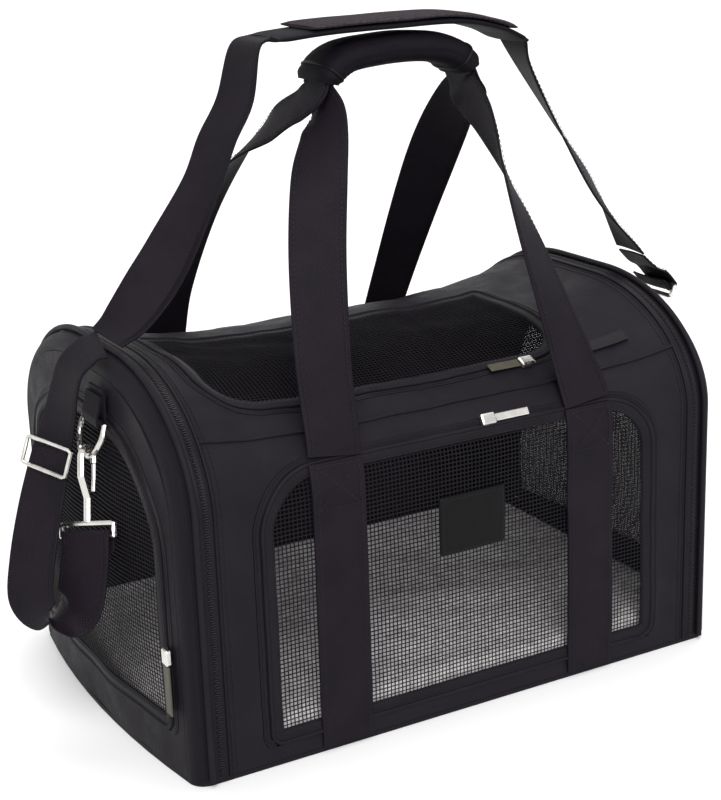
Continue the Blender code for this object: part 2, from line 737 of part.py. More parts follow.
def make_handles():
    """The two carry handles, each one length of webbing, and the padded wrap that joins them."""
    half = STRAP_SPACING / 2
    top = [(point, ACROSS_TOP, 0.92) for point in HANDLE_TOP]
    held = [point for point, _, _ in follow(top, "top")]
    start = SEAM_HEIGHT + 0.0030
    front_y = float(wrap(0, SEAM_HEIGHT, ZIP_PROUD + GAP + WEBBING_THICKNESS / 2)[1])
    back_y = -float(wrap(0, SEAM_HEIGHT, GAP + WEBBING_THICKNESS / 2)[1])
    front_legs = [
        ((-0.0968, -0.1368, 0.2150), (1, 0, 0), 1.0),
        ((-0.0905, -0.1160, 0.2560), (1, -0.10, 0), 1.0),
        ((-0.0760, -0.0850, 0.3150), (1, -0.35, 0), 1.0),
        ((-0.0585, -0.0570, 0.3620), (0.85, -0.6, 0), 1.0),
        ((-0.0440, -0.0370, 0.3890), (0.45, -0.9, 0), 0.95),
        ((-0.0355, -0.0200, 0.4030), (0, -1, 0), 0.92),
        *top,
        ((0.0834, -0.0190, 0.4030), (0, -1, 0), 0.92),
        ((0.0845, -0.0390, 0.3870), (-0.1, -1, 0), 0.95),
        ((0.0875, -0.0630, 0.3500), (-0.5, -0.85, 0), 1.0),
        ((0.0905, -0.0900, 0.3050), (-0.8, -0.6, 0), 1.0),
        ((0.0940, -0.1180, 0.2540), (-0.95, -0.3, 0), 1.0),
        ((0.0972, -0.1368, 0.2150), (-1, 0, 0), 1.0),
    ]
    front = [
        ((-half, front_y - LAYER + 0.0007, start), (1, 0, 0), 1.0),
        *follow(front_legs, "leg"),
        ((half, front_y - LAYER + 0.0007, start), (-1, 0, 0), 1.0),
    ]
    rear_legs = [
        ((-0.0972, 0.1355, 0.2150), (-1, 0, 0), 1.0),
        ((-0.0945, 0.1180, 0.2560), (-1, -0.15, 0), 1.0),
        ((-0.0830, 0.0850, 0.3150), (-0.95, -0.35, 0), 1.0),
        ((-0.0650, 0.0500, 0.3620), (-0.7, -0.7, 0), 1.0),
        ((-0.0510, 0.0170, 0.3890), (-0.1, -1, 0), 0.95),
        ((-0.0400, -0.0030, 0.4030), (0, -1, 0), 0.92),
        *top,
        ((0.0905, -0.0040, 0.4030), (0, -1, 0), 0.92),
        ((0.0930, 0.0170, 0.3890), (0.2, -1, 0), 0.95),
        ((0.0975, 0.0500, 0.3550), (0.6, -0.8, 0), 1.0),
        ((0.1000, 0.0820, 0.3100), (0.9, -0.45, 0), 1.0),
        ((0.1010, 0.1150, 0.2560), (1, -0.15, 0), 1.0),
        ((0.0992, 0.1355, 0.2150), (1, 0, 0), 1.0),
    ]
    rear = [
        ((-half, back_y - LAYER + 0.0020, start), (-1, 0, 0), 1.0),
        *follow(rear_legs, "leg"),
        ((half, back_y - LAYER + 0.0020, start), (1, 0, 0), 1.0),
    ]
    webbing("front_handle_webbing", front, 46, shift=-LAYER)
    webbing("rear_handle_webbing", rear, 46, shift=LAYER)

    path = curve_through(held, 15)[1:-1]
    outer = oval(WRAP_WIDTH, WRAP_HEIGHT, 20)
    inner = oval(WEBBING_WIDTH + 0.001, WRAP_HEIGHT - 2 * WRAP_WALL, 20)
    # The slit is at the bottom, where the hook-and-loop edge closes
    order = (np.arange(20) + 15) % 20
    outer, inner = outer[order][1:], inner[order][1:]
    profile = np.vstack([outer, inner[::-1]])
    across = np.tile(np.array(ACROSS_TOP, float), (len(path), 1))
    swell = np.interp(np.linspace(0, 1, len(path)), [0, 0.1, 0.3, 0.7, 0.9, 1], [1, 1.08, 1, 1, 1.08, 1])
    sweep("handle_wrap", profile, path, across, BLACK_CLOTH, swell)


# ---------------------------------------------------------------- shoulder strap

SHOULDER_PAD_ROUTE = [
    (-0.0700, -0.008, 0.4520),
    (-0.0300, -0.008, 0.4545),
    (0.0200, -0.008, 0.4550),
    (0.0700, -0.008, 0.4545),
    (0.1050, -0.008, 0.4470),
    (0.1270, -0.008, 0.4370),
]
SHOULDER_LEFT = [
    ((-0.0722, -0.008, 0.4514), (0, -1, 0), 0.9),
    ((-0.0840, -0.009, 0.4450), (0.1, -1, 0), 1.0),
    ((-0.0935, -0.010, 0.4122), (0.25, -1, 0), 1.0),
    ((-0.1082, -0.010, 0.3874), (0.3, -1, 0), 1.0),
    ((-0.1220, -0.012, 0.3600), (0.35, -1, 0), 1.0),
    ((-0.1470, -0.016, 0.3230), (0.7, -0.8, 0), 1.0),
    ((-0.1640, -0.019, 0.3020), (0.8, -0.65, 0), 1.0),
    ((-0.1850, -0.022, 0.2805), (0.6, -0.75, 0), 1.0),
    ((-0.2000, -0.023, 0.2700), (0.35, -0.9, 0), 1.0),
]
SHOULDER_RIGHT = [
    ((0.1288, -0.008, 0.4352), (0, -1, 0), 0.9),
    ((0.1370, -0.009, 0.4150), (-0.3, -1, 0), 1.0),
    ((0.1650, -0.012, 0.3680), (-0.5, -0.9, 0), 1.0),
    ((0.1960, -0.016, 0.3190), (-0.6, -0.8, 0), 1.0),
    ((0.2290, -0.018, 0.2695), (-0.1, -1, 0), 1.0),
]


def make_shoulder_strap():
    """The padded shoulder strap above the fold lines at the two hoops."""
    route = follow([(point, ACROSS_TOP, 1.0) for point in SHOULDER_PAD_ROUTE], "strap")
    path = curve_through([point for point, _, _ in route], 15)
    across = np.tile([0.0, -1.0, 0.0], (len(path), 1))
    profile = oval(SHOULDER_PAD_WIDTH, SHOULDER_PAD_THICKNESS, 16, 4.0)
    sweep("shoulder_pad", profile, path, across, GREY_CLOTH)
    webbing("shoulder_strap_left", follow(SHOULDER_LEFT, "strap"), 22)
    webbing("shoulder_strap_right", follow(SHOULDER_RIGHT, "strap"), 14)


RING_BAR_X = HALF_LENGTH + 0.0075
RING_BAR_Z = HEIGHT - 0.0400
HOOK_LENGTH = 0.0415
EYE_RISE = 0.0085
LEFT_STRAP_END = [
    ((-0.2040, -0.0230, 0.2668), (0.35, -0.9, 0), 1.0),
    ((-0.2140, -0.0200, 0.2625), (0.2, -1, 0), 1.0),
    ((-0.2240, -0.0170, 0.2530), (0.1, -1, 0), 1.0),
    ((-0.2290, -0.0160, 0.2400), (0.1, -1, 0), 1.0),
    ((-0.2340, -0.0150, 0.2200), (0.2, -1, 0), 1.0),
    ((-0.2430, -0.0160, 0.1950), (0.35, -0.94, 0), 1.0),
    ((-0.2550, -0.0190, 0.1650), (0.45, -0.88, 0), 1.0),
    ((-0.2660, -0.0240, 0.1350), (0.5, -0.86, 0.05), 1.0),
    ((-0.2690, -0.0290, 0.1130), (0.52, -0.85, 0.10), 1.0),
    ((-0.2600, -0.0340, 0.1020), (0.54, -0.83, 0.14), 1.0),
    ((-0.2490, -0.0390, 0.1070), (0.55, -0.82, 0.17), 1.0),
    ((-0.2430, -0.0450, 0.1220), (0.55, -0.82, 0.17), 1.0),
    ((-0.2390, -0.0505, 0.1370), (0.55, -0.82, 0.17), 1.0),
]
RIGHT_STRAP_END = [
    ((0.2298, -0.0182, 0.2667), (-0.1, -1, 0), 1.0),
    ((0.2395, -0.0200, 0.2570), (-0.05, -1, 0), 1.0),
]


def make_ring(side, sign, y, drop):
    """A D-ring and the cloth tab that holds its straight bar to the end panel.

    drop is the direction from the bar to the bow: down where it hangs, up where the strap pulls it."""
    bar = np.array([sign * RING_BAR_X, y, RING_BAR_Z])
    width = np.array([0.0, D_RING_HALF_WIDTH, 0.0])
    drop = np.array(drop, float) / np.linalg.norm(drop)
    bow_middle = bar + drop * 0.006
    rise = D_RING_DROP - 0.006
    bow = arc_points(bow_middle, (0, 1, 0), drop, D_RING_HALF_WIDTH, rise, 0, 180, 13)
    straight = [bar + width * share for share in np.linspace(-0.92, 0.92, 5)]
    wire(f"{side}_d_ring", [*straight, *bow], D_RING_WIRE, NICKEL, True, 2, 1.0, 0.25)

    # The tab wraps over the bar, seen from the side as a U, with both legs on the end panel
    wall = 0.0016
    reach = D_RING_WIRE + GAP + wall / 2
    out = np.array([float(sign), 0.0, 0.0])
    along = np.array([0.0, 0.0, -1.0])
    turn = np.radians(np.linspace(-90, 90, 9))[:, None]
    bend = bar + out * reach * np.sin(turn) + along * reach * np.cos(turn)
    near, far = bend[0] - along * 0.022, bend[-1] - along * 0.018
    far = far - out * (2 * reach - wall - GAP)
    path = np.vstack([near, bend, bend[-1] - along * 0.004, far])
    across = np.tile([0.0, 1.0, 0.0], (len(path), 1))
    corners = np.array([(-1, -1), (1, -1), (1, 1), (-1, 1)])
    profile = corners * [RING_TAB_WIDTH / 2, wall / 2]
    sweep(f"{side}_ring_tab", profile, path, across, BLACK_WEBBING)
    return bar + drop * D_RING_DROP


def make_snap_hook(side, sign, bow_point, away, wide):
    """A swivel snap hook: a wire bow through the D-ring, its gate, and an eye for the webbing.

    away is the way from the ring to the eye, and wide is the way the eye's bar lies. It returns the eye's
    far bar, and the three directions."""
    away = np.array(away, float) / np.linalg.norm(away)
    wide = np.array(wide, float) - away * np.dot(wide, away)
    wide /= np.linalg.norm(wide)
    out = np.cross(wide, away)
    out *= np.sign(out[0]) * sign
    radius = D_RING_WIRE + HOOK_WIRE + 2 * GAP + 0.0014
    middle = bow_point + away * (radius - D_RING_WIRE - HOOK_WIRE - 3 * GAP)
    bow = arc_points(middle, out, -away, radius, radius, 0, 180, 11)
    foot = middle + away * HOOK_LENGTH
    shank = [foot, middle + away * 0.026, middle + out * radius + away * 0.012]
    nose = middle - out * radius
    eye_half = WEBBING_WIDTH / 2 + 0.002
    top = foot + away * (D_RING_WIRE * 0.5)
    corners = [top - wide * eye_half, top + wide * eye_half]
    corners += [corners[1] + away * EYE_RISE, corners[0] + away * EYE_RISE]
    eye = []
    for first, second in zip(corners, corners[1:] + corners[:1]):
        eye += [first + (second - first) * share for share in (0.06, 0.5, 0.94)]
    body = wire(f"{side}_snap_hook", [*shank, *bow, nose + away * 0.003], HOOK_WIRE, NICKEL, False, 2, 1.0, 0.25)
    frame = wire("eye", eye, D_RING_WIRE, NICKEL, True, 2)
    fuse(body, frame)
    gate = [nose + away * (0.003 + 2 * GAP), nose + away * 0.012, middle + away * 0.0215 - out * 0.0058]
    wire(f"{side}_hook_gate", gate, HOOK_WIRE * 0.55, NICKEL, False, 2, 1.0, 0.25)
    return top + away * EYE_RISE, away, out, wide


def over_bar(bar, towards, outer, wide):
    """The rows of a route that comes down one side of a bar, goes round it and doubles back."""
    reach = D_RING_WIRE + 2 * GAP + WEBBING_THICKNESS / 2
    turn = np.radians(np.linspace(0, 180, 7))[:, None]
    bend = bar + outer * reach * np.cos(turn) - towards * reach * np.sin(turn)
    near, far = bar + towards * 0.012 + outer * reach, bar + towards * 0.010 - outer * reach
    return [(tuple(point), tuple(wide), 1.0) for point in (near, *bend, far)]


def fuse(body, other):
    """Join two curves into one closed mesh, which takes the first one's name."""
    graph = bpy.context.evaluated_depsgraph_get()
    meshes = []
    for obj in (body, other):
        made = bpy.data.meshes.new_from_object(obj.evaluated_get(graph))
        build = bmesh.new()
        build.from_mesh(made)
        bmesh.ops.remove_doubles(build, verts=build.verts, dist=1e-6)
        bmesh.ops.recalc_face_normals(build, faces=build.faces)
        build.to_mesh(made)
        build.free()
        meshes.append(made)
    name, shade = body.name, body.data.materials[0]
    for obj in (body, other):
        bpy.data.objects.remove(obj, do_unlink=True)
    cutter = bpy.data.objects.new("joined_piece", meshes[1])
    cutter.hide_render = True
    cutter.display_type = "WIRE"
    bpy.context.scene.collection.objects.link(cutter)
    result = bpy.data.objects.new(name, meshes[0])
    meshes[0].materials.clear()
    meshes[0].materials.append(shade)
    bpy.context.scene.collection.objects.link(result)
    join = result.modifiers.new("Join", "BOOLEAN")
    join.operation = "UNION"
    join.solver = "EXACT"
    join.object = cutter
    return result


def make_tri_glide(route, at):
    """The length adjuster: a flat wire frame on the outer face of the strap at one row of its route."""
    point, side, _ = route[at]
    before, after = (np.array(route[at + step][0]) for step in (-1, 1))
    point, side = np.array(point), np.array(side, float)
    along = (after - before) / np.linalg.norm(after - before)
    side = side - along * np.dot(side, along)
    side /= np.linalg.norm(side)
    face = np.cross(side, along)
    radius = 0.0014
    middle = point - face * (WEBBING_THICKNESS / 2 + 5 * GAP + radius)
    half_wide, half_tall = WEBBING_WIDTH / 2 + 0.003, 0.009
    corners = [(-1, -1), (1, -1), (1, 1), (-1, 1)]
    corners = [middle + side * half_wide * u + along * half_tall * v for u, v in corners]
    loop = []
    for first, second in zip(corners, corners[1:] + corners[:1]):
        loop += [first + (second - first) * share for share in (0.06, 0.5, 0.94)]
    wire("tri_glide", loop, radius, NICKEL, True, 2, 1.0, 0.25)


def make_strap_ends():
    """The shoulder strap's fixed ends, with the D-rings, snap hooks and length adjuster they run to."""
    ring_bow = make_ring("left", -1, -0.032, (-0.40, 0, -1))
    hooked = make_snap_hook("left", -1, ring_bow + np.array([0, -0.006, 0.0007]), (-0.22, -0.36, -1), (0.5, -0.86, 0))
    bar, away, out, wide = hooked
    hanging = follow(LEFT_STRAP_END, "strap")
    left = hanging + over_bar(bar, away, out, wide)
    webbing("left_strap_end", left, 70)
    make_tri_glide(hanging, 5)

    ring_bow = make_ring("right", 1, -0.020, (0.40, 0, -1))
    hooked = make_snap_hook("right", 1, ring_bow, (0.55, 0, 0.82), (0, -1, 0))
    bar, _, _, wide = hooked
    taut = follow(RIGHT_STRAP_END, "strap")
    towards = np.array(taut[-1][0]) - bar
    towards[1] = 0
    towards /= np.linalg.norm(towards)
    outer = np.array([towards[2], 0, -towards[0]])
    right = taut + over_bar(bar, towards, outer, wide)
    webbing("right_strap_end", right, 30)


def main():
    clear_scene()
    make_base()
    make_walls()
    make_wall_door("front_door", door_loop)
    make_wall_door("lid", lid_loop)
    make_label()
    make_zips()
    make_end(lambda piece: piece, "right")
    make_end(turned_half, "left")
    make_sliders()
    make_zip_end_tab()
    make_sewn_straps()
    make_handles()
    make_shoulder_strap()
    make_strap_ends()


main()
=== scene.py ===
"""The looks of a soft-sided pet carrier bag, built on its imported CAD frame.

The front, roof and back lie on one surface, wrap(x, s, proud): s runs up the front wall, over the roof and
down the back. The ends lie on end_wall(y, z, proud). Cloth, tapes, piping, stitches and the open mesh are all
worked out as arrays on those surfaces."""

import math

import bpy
import numpy as np
from mathutils import Matrix, Vector


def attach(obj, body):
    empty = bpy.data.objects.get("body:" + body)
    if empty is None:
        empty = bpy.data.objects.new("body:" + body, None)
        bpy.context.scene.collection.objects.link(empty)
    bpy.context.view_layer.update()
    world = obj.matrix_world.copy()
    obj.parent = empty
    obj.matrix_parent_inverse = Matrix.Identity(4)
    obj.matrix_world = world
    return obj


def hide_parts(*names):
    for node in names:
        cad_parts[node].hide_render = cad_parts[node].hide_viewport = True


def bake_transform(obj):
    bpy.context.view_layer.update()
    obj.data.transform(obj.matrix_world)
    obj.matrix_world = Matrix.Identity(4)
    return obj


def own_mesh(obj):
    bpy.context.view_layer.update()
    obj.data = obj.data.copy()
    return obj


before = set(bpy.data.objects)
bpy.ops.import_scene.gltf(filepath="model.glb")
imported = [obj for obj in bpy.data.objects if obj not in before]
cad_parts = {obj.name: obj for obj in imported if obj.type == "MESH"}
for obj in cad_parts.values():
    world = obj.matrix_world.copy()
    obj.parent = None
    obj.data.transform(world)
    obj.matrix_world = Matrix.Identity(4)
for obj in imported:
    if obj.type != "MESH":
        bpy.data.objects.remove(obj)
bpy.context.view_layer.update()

# Sewn body, in metres
LENGTH, DEPTH, HEIGHT = 0.418, 0.284, 0.260
SHOULDER_DEPTH, SHOULDER_RISE = 0.113, 0.081
ROOF_SAG, END_BULGE, END_DOOR_CROWN = 0.018, 0.010, 0.006
CLOTH, BASE = 0.0022, 0.003
GAP = 0.0003
BAND_RADIUS, COLLAPSE_ZIP = 0.012, 0.012
ZIP_WIDTH, ZIP_PROUD = 0.0045, 0.0006
FRAME_WIDTH = 0.010
HALF_LENGTH, HALF_DEPTH = LENGTH / 2, DEPTH / 2
WALL_START = BASE + GAP
BAND_START = HALF_LENGTH - BAND_RADIUS
WALL_END = BAND_START - GAP - COLLAPSE_ZIP - GAP
ZIP_SLOT = GAP + ZIP_WIDTH + GAP
PAD_BOTTOM, PAD_TOP = 0.0069, 0.0306

# Doors
DOOR = ((-0.155, 0.014), (0.155, 0.203), (0.010, 0.010), (0.045, 0.045))
END_DOOR = ((-0.118, 0.030), (0.118, 0.224), (0.010, 0.010), (0.095, 0.072))
LID_X, LID_Y = (-0.165, 0.115), (-0.104, 0.025)

# Webbing
WEBBING, WEBBING_THICK = 0.038, 0.0018
STITCH_ROW = 0.0155
BOX_HALF_WIDTH, BOX_TALL = 0.0145, 0.030
STRAP_SPACING, SEAM_HEIGHT = 0.197, 0.200


# ----- surfaces


def outline_table():
    """The wall's outline: straight side, a quarter ellipse, half the flat top, then the same mirrored."""
    rise = HEIGHT - SHOULDER_RISE
    turn = np.linspace(0, math.pi / 2, 300)
    shoulder = np.column_stack(
        [-HALF_DEPTH + SHOULDER_DEPTH * (1 - np.cos(turn)), rise + SHOULDER_RISE * np.sin(turn)]
    )
    half = np.vstack([[-HALF_DEPTH, 0.0], shoulder])
    both = np.vstack([half, half[::-1] * [-1, 1]])
    return both, np.concatenate([[0], np.cumsum(np.hypot(*np.diff(both, axis=0).T))])


OUTLINE, OUTLINE_S = outline_table()
AROUND = float(OUTLINE_S[-1])


def s_at_y(y):
    """Distance round the wall to the roof at depth y."""
    return float(np.interp(y, OUTLINE[1:-1, 0], OUTLINE_S[1:-1]))


LID = ((LID_X[0], s_at_y(LID_Y[0])), (LID_X[1], s_at_y(LID_Y[1])), (0.038, 0.038), (0.008, 0.008))


def smooth(value):
    """The S-curve 3t^2 - 2t^3 between 0 and 1."""
    t = np.clip(value, 0, 1)
    return t * t * (3 - 2 * t)


def waves(u, v, size, seed, count=9):
    """A soft random height: a sum of count sine waves of about the given wavelength in random directions."""
    random = np.random.default_rng(seed)
    total = np.zeros(np.broadcast(u, v).shape)
    for heading, phase, share in zip(
        random.uniform(0, math.pi, count), random.uniform(0, 6.28, count), random.uniform(0.7, 1.5, count)
    ):
        k = 2 * math.pi / (size * share)
        total += np.sin(k * (u * math.cos(heading) + v * math.sin(heading)) + phase)
    return total / math.sqrt(count)


def sag(x, z):
    """The roof hangs below the two hoops: most in the middle of its length, none below the shoulder."""
    along = 1 - np.clip(np.abs(x) / WALL_END, 0, 1) ** 4
    start = HEIGHT - SHOULDER_RISE + 0.012
    return ROOF_SAG * along * smooth((z - start) / (HEIGHT - start))


def slack(x, s):
    """How far the cloth wanders in and out: wide folds, small puckers, and little of either at the hoops."""
    free = smooth((WALL_END + 0.004 - np.abs(x)) / 0.035)
    low = smooth((s - 0.01) / 0.03) * smooth((AROUND - 0.01 - s) / 0.03)
    wide = 0.0007 * waves(x, s * 0.7, 0.120, 3) + 0.00028 * waves(x, s, 0.042, 8)
    roof = smooth((s - 0.20) / 0.04) * smooth((AROUND - 0.20 - s) / 0.04)
    tuck = 0.0005 * roof * waves(x * 2.2, s * 0.5, 0.070, 21)
    return free * low * (wide + tuck)


def wrap_flat(x, s):
    """Points of the wall's outer face at length x and distance round s."""
    y = np.interp(s, OUTLINE_S, OUTLINE[:, 0])
    z = np.interp(s, OUTLINE_S, OUTLINE[:, 1])
    return np.stack([x, y, z - sag(x, z)], axis=-1)


def wrap(x, s, proud=0.0):
    """The wall's face with its slack, moved out by proud along its normal."""
    x, s, proud = np.broadcast_arrays(*(np.asarray(value, float) for value in (x, s, proud)))
    step = 0.002
    along = wrap_flat(x + step, s) - wrap_flat(x - step, s)
    around = wrap_flat(x, s + step) - wrap_flat(x, s - step)
    normal = np.cross(along, around)
    normal /= np.linalg.norm(normal, axis=-1, keepdims=True)
    return wrap_flat(x, s) + (proud + slack(x, s))[..., None] * normal


def end_bulge(y, z):
    """An end wall stands out beyond its hoop, most low down in the middle."""
    across = 1 - np.clip(np.abs(y) / (HALF_DEPTH - BAND_RADIUS), 0, 1) ** 2
    return END_BULGE * across * (1 - np.clip(z / (HEIGHT - BAND_RADIUS), 0, 1) ** 3)


def end_wall(sign):
    """The outer face of the end at sign x: (y, z, proud) to points. At the left end y runs the other way."""

    def surface(y, z, proud=0.0):
        y, z, proud = np.broadcast_arrays(*(np.asarray(value, float) for value in (y, z, proud)))
        edge = smooth((0.128 - np.abs(y)) / 0.03) * smooth((0.245 - z) / 0.03)
        soft = 0.0006 * edge * waves(y, z, 0.080, 31 + sign)
        return np.stack([sign * (HALF_LENGTH + end_bulge(y, z) + proud + soft), sign * y, z], axis=-1)

    return surface


def end_door_wall(sign):
    """An end door's face: the end wall with an extra swell inside the door's outline."""
    face = end_wall(sign)

    def surface(y, z, proud=0.0):
        middle = (END_DOOR[0][1] + END_DOOR[1][1]) / 2
        across = 1 - np.clip(np.abs(y) / END_DOOR[1][0], 0, 1) ** 2
        up = 1 - np.clip(np.abs(z - middle) / (END_DOOR[1][1] - middle), 0, 1) ** 2
        return face(y, z, proud + END_DOOR_CROWN * across * up)

    return surface


def band_wall(sign):
    """The rounded band of an end: (turn, s, proud), a quarter circle from the wall round to the end face."""

    def surface(turn, s, proud=0.0):
        turn, s, proud = np.broadcast_arrays(*(np.asarray(value, float) for value in (turn, s, proud)))
        radius = BAND_RADIUS + proud
        x = BAND_START + radius * np.sin(turn)
        points = wrap(x, s, radius * np.cos(turn) - BAND_RADIUS)
        return points * [sign, sign, 1]

    return surface


def turned(sign):
    """The wrap surface as it is, or turned half a turn about Z for the left end."""

    def surface(x, s, proud=0.0):
        return wrap(x, s, proud) * [sign, sign, 1]

    return surface


# ----- mesh making


def grid_faces(rows, columns, round_columns=False, round_rows=False):
    """Quads of a grid of points as an array, joined end to end where a direction closes."""
    count = np.arange(rows * columns).reshape(rows, columns)
    if round_columns:
        count = np.hstack([count, count[:, :1]])
    if round_rows:
        count = np.vstack([count, count[:1]])
    return np.stack([count[:-1, :-1], count[:-1, 1:], count[1:, 1:], count[1:, :-1]], -1).reshape(-1, 4)


def make_piece(name, points, faces, material, body, slot, uv=None, caps=()):
    """A mesh object from arrays, with its UV map in metres, riding on a body when body is a name and left in place
    otherwise.
    """
    points = np.asarray(points, float).reshape(-1, 3)
    mesh = bpy.data.meshes.new(name)
    polygons = np.asarray(faces).tolist() + [list(cap) for cap in caps]
    mesh.from_pydata(points.tolist(), [], polygons)
    if uv is not None:
        uv = np.asarray(uv, float).reshape(-1, 2)
        corner = np.zeros(len(mesh.loops), int)
        mesh.loops.foreach_get("vertex_index", corner)
        mesh.uv_layers.new(name="cloth").data.foreach_set("uv", uv[corner].ravel())
    mesh.shade_smooth()
    mesh.set_sharp_from_angle(angle=math.radians(50))
    mesh.materials.append(material)
    piece = bpy.data.objects.new(name, mesh)
    bpy.context.scene.collection.objects.link(piece)
    if isinstance(body, str):
        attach(piece, body)
    else:
        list(body)
        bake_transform(piece)
    return piece


def sheet(name, u, v, surface, material, body, slot, proud=0.0, thick=CLOTH, closed=False):
    """A cloth sheet on a surface: a grid of outer points, the same grid one thickness in, and a rim between."""
    rows, columns = u.shape
    outer = surface(u, v, proud)
    inner = surface(u, v, proud - thick)
    count = rows * columns
    faces = grid_faces(rows, columns, closed)
    edges = np.stack([faces, np.roll(faces, -1, axis=1)], -1).reshape(-1, 2)
    key = edges[:, 0] * count + edges[:, 1]
    border = edges[~np.isin(key, edges[:, 1] * count + edges[:, 0])]
    rim = np.column_stack([border[:, 1], border[:, 0], border[:, 0] + count, border[:, 1] + count])
    faces = np.vstack([faces, faces[:, ::-1] + count, rim])
    points = np.concatenate([outer.reshape(-1, 3), inner.reshape(-1, 3)])
    uv = np.column_stack([u.ravel(), v.ravel()])
    return make_piece(name, points, faces, material, body, slot, np.vstack([uv, uv]))


CORNER, SIDE = 14, 36


def outline(box, grow=0.0, corner=CORNER, side=SIDE):
    """A loop of (u, v) round a box with elliptic corners, anticlockwise from the bottom right corner."""
    low, high, bottom, top = (np.array(part, float) for part in box)
    low, high = low - grow, high + grow
    bottom, top = np.maximum(bottom + grow, 0.001), np.maximum(top + grow, 0.001)
    places = [
        (high[0] - bottom[0], low[1] + bottom[1], bottom, -0.5),
        (high[0] - top[0], high[1] - top[1], top, 0.0),
        (low[0] + top[0], high[1] - top[1], top, 0.5),
        (low[0] + bottom[0], low[1] + bottom[1], bottom, 1.0),
    ]
    arcs = []
    for u, v, radii, start in places:
        turn = (start + np.linspace(0, 0.5, corner)) * math.pi
        arcs.append(np.column_stack([u + radii[0] * np.cos(turn), v + radii[1] * np.sin(turn)]))
    loop = []
    for arc, following in zip(arcs, arcs[1:] + arcs[:1]):
        share = np.linspace(0, 1, side + 1)[1:-1, None]
        loop += [arc, arc[-1] * (1 - share) + following[0] * share]
    return np.vstack(loop)


def corner_start(number):
    """Where a corner's arc starts in an outline: 0 bottom right, 1 top right, 2 top left, 3 bottom left."""
    return number * (CORNER + SIDE - 1)


def between(outer, inner, rings):
    """Rings of points from one loop in to another, as two grids."""
    share = np.linspace(0, 1, rings)[:, None]
    return tuple(outer[:, n] * (1 - share) + inner[:, n] * share for n in (0, 1))


def evenly(path, pitch, closed=False):
    """Points every pitch along a path in (u, v), with the path's direction at each."""
    if closed:
        path = np.vstack([path, path[:1]])
    steps = np.concatenate([[0], np.cumsum(np.hypot(*np.diff(path, axis=0).T))])
    places = np.arange(pitch / 2, steps[-1], pitch)
    points = np.column_stack([np.interp(places, steps, path[:, n]) for n in (0, 1)])
    ahead = np.column_stack([np.interp(places + 1e-4, steps, path[:, n]) for n in (0, 1)])
    behind = np.column_stack([np.interp(places - 1e-4, steps, path[:, n]) for n in (0, 1)])
    heading = ahead - behind
    return points, heading / np.linalg.norm(heading, axis=1, keepdims=True)


BLOCK = np.array([(a, b, c) for c in (0, 1) for a, b in ((-1, -1), (1, -1), (1, 1), (-1, 1))], float)
BLOCK_FACES = np.array([(3, 2, 1, 0), (4, 5, 6, 7), (0, 1, 5, 4), (1, 2, 6, 5), (2, 3, 7, 6), (3, 0, 4, 7)])


def blocks(name, path, pitch, size, surface, material, body, slot, proud=0.0, shift=0.0, closed=False, taper=0.7):
    """Small blocks in a row on a surface, such as zip teeth or stitches: size is length, width and height."""
    centre, heading = evenly(path, pitch, closed)
    across = np.column_stack([-heading[:, 1], heading[:, 0]])
    length, width, height = size
    sway = shift * np.where(np.arange(len(centre)) % 2, 1, -1)[:, None, None]
    shrink = np.where(BLOCK[:, 2] > 0, taper, 1.0)
    flat = (
        centre[:, None]
        + heading[:, None] * (BLOCK[:, 0] * shrink * length / 2)[:, None]
        + across[:, None] * ((BLOCK[:, 1] * shrink * width / 2)[:, None] + sway)
    )
    lift = proud + BLOCK[:, 2] * height
    points = surface(flat[..., 0], flat[..., 1], np.broadcast_to(lift, flat.shape[:2]))
    faces = (BLOCK_FACES[None] + 8 * np.arange(len(centre))[:, None, None]).reshape(-1, 4)
    # Some surfaces are mirrored, and on those the faces turn round
    steps = np.array([surface(0.001, 0.1), surface(0, 0.101), surface(0, 0.1, 0.001)])
    if np.linalg.det(steps - surface(0, 0.1)) < 0:
        faces = faces[:, ::-1]
    return make_piece(name, points, faces, material, body, slot)


def sweep(name, path, side, face, profile, material, body, slot, closed=False):
    """A closed profile of (side, face) points carried along a path, its ends filled where the path is open."""
    local = np.broadcast_to(profile, (len(path), *profile.shape[-2:]))
    points = path[:, None] + side[:, None] * local[..., :1] + face[:, None] * local[..., 1:]
    count = local.shape[1]
    faces = grid_faces(len(path), count, True, closed)[:, ::-1]
    first = range(count)
    last = [(len(path) - 1) * count + n for n in range(count)][::-1]
    step = np.concatenate([[0], np.cumsum(np.linalg.norm(np.diff(path, axis=0), axis=1))])
    edge = np.linalg.norm(np.diff(local[len(path) // 2], axis=0, append=local[len(path) // 2][:1]), axis=1)
    around = np.concatenate([[0], np.cumsum(edge)[:-1]])
    uv = np.stack(np.broadcast_arrays(around[None], step[:, None]), -1)
    return make_piece(name, points, faces, material, body, slot, uv, () if closed else (first, last))


def circle(radius, count=12):
    """A round profile, anticlockwise."""
    turn = np.arange(count) * 2 * math.pi / count
    return radius * np.column_stack([np.cos(turn), np.sin(turn)])


def oval(width, height, count=32, power=2.6):
    """A closed superellipse, anticlockwise."""
    turn = np.arange(count) * 2 * math.pi / count
    cos, sin = np.cos(turn), np.sin(turn)
    return np.column_stack(
        [
            width / 2 * np.sign(cos) * np.abs(cos) ** (2 / power),
            height / 2 * np.sign(sin) * np.abs(sin) ** (2 / power),
        ]
    )


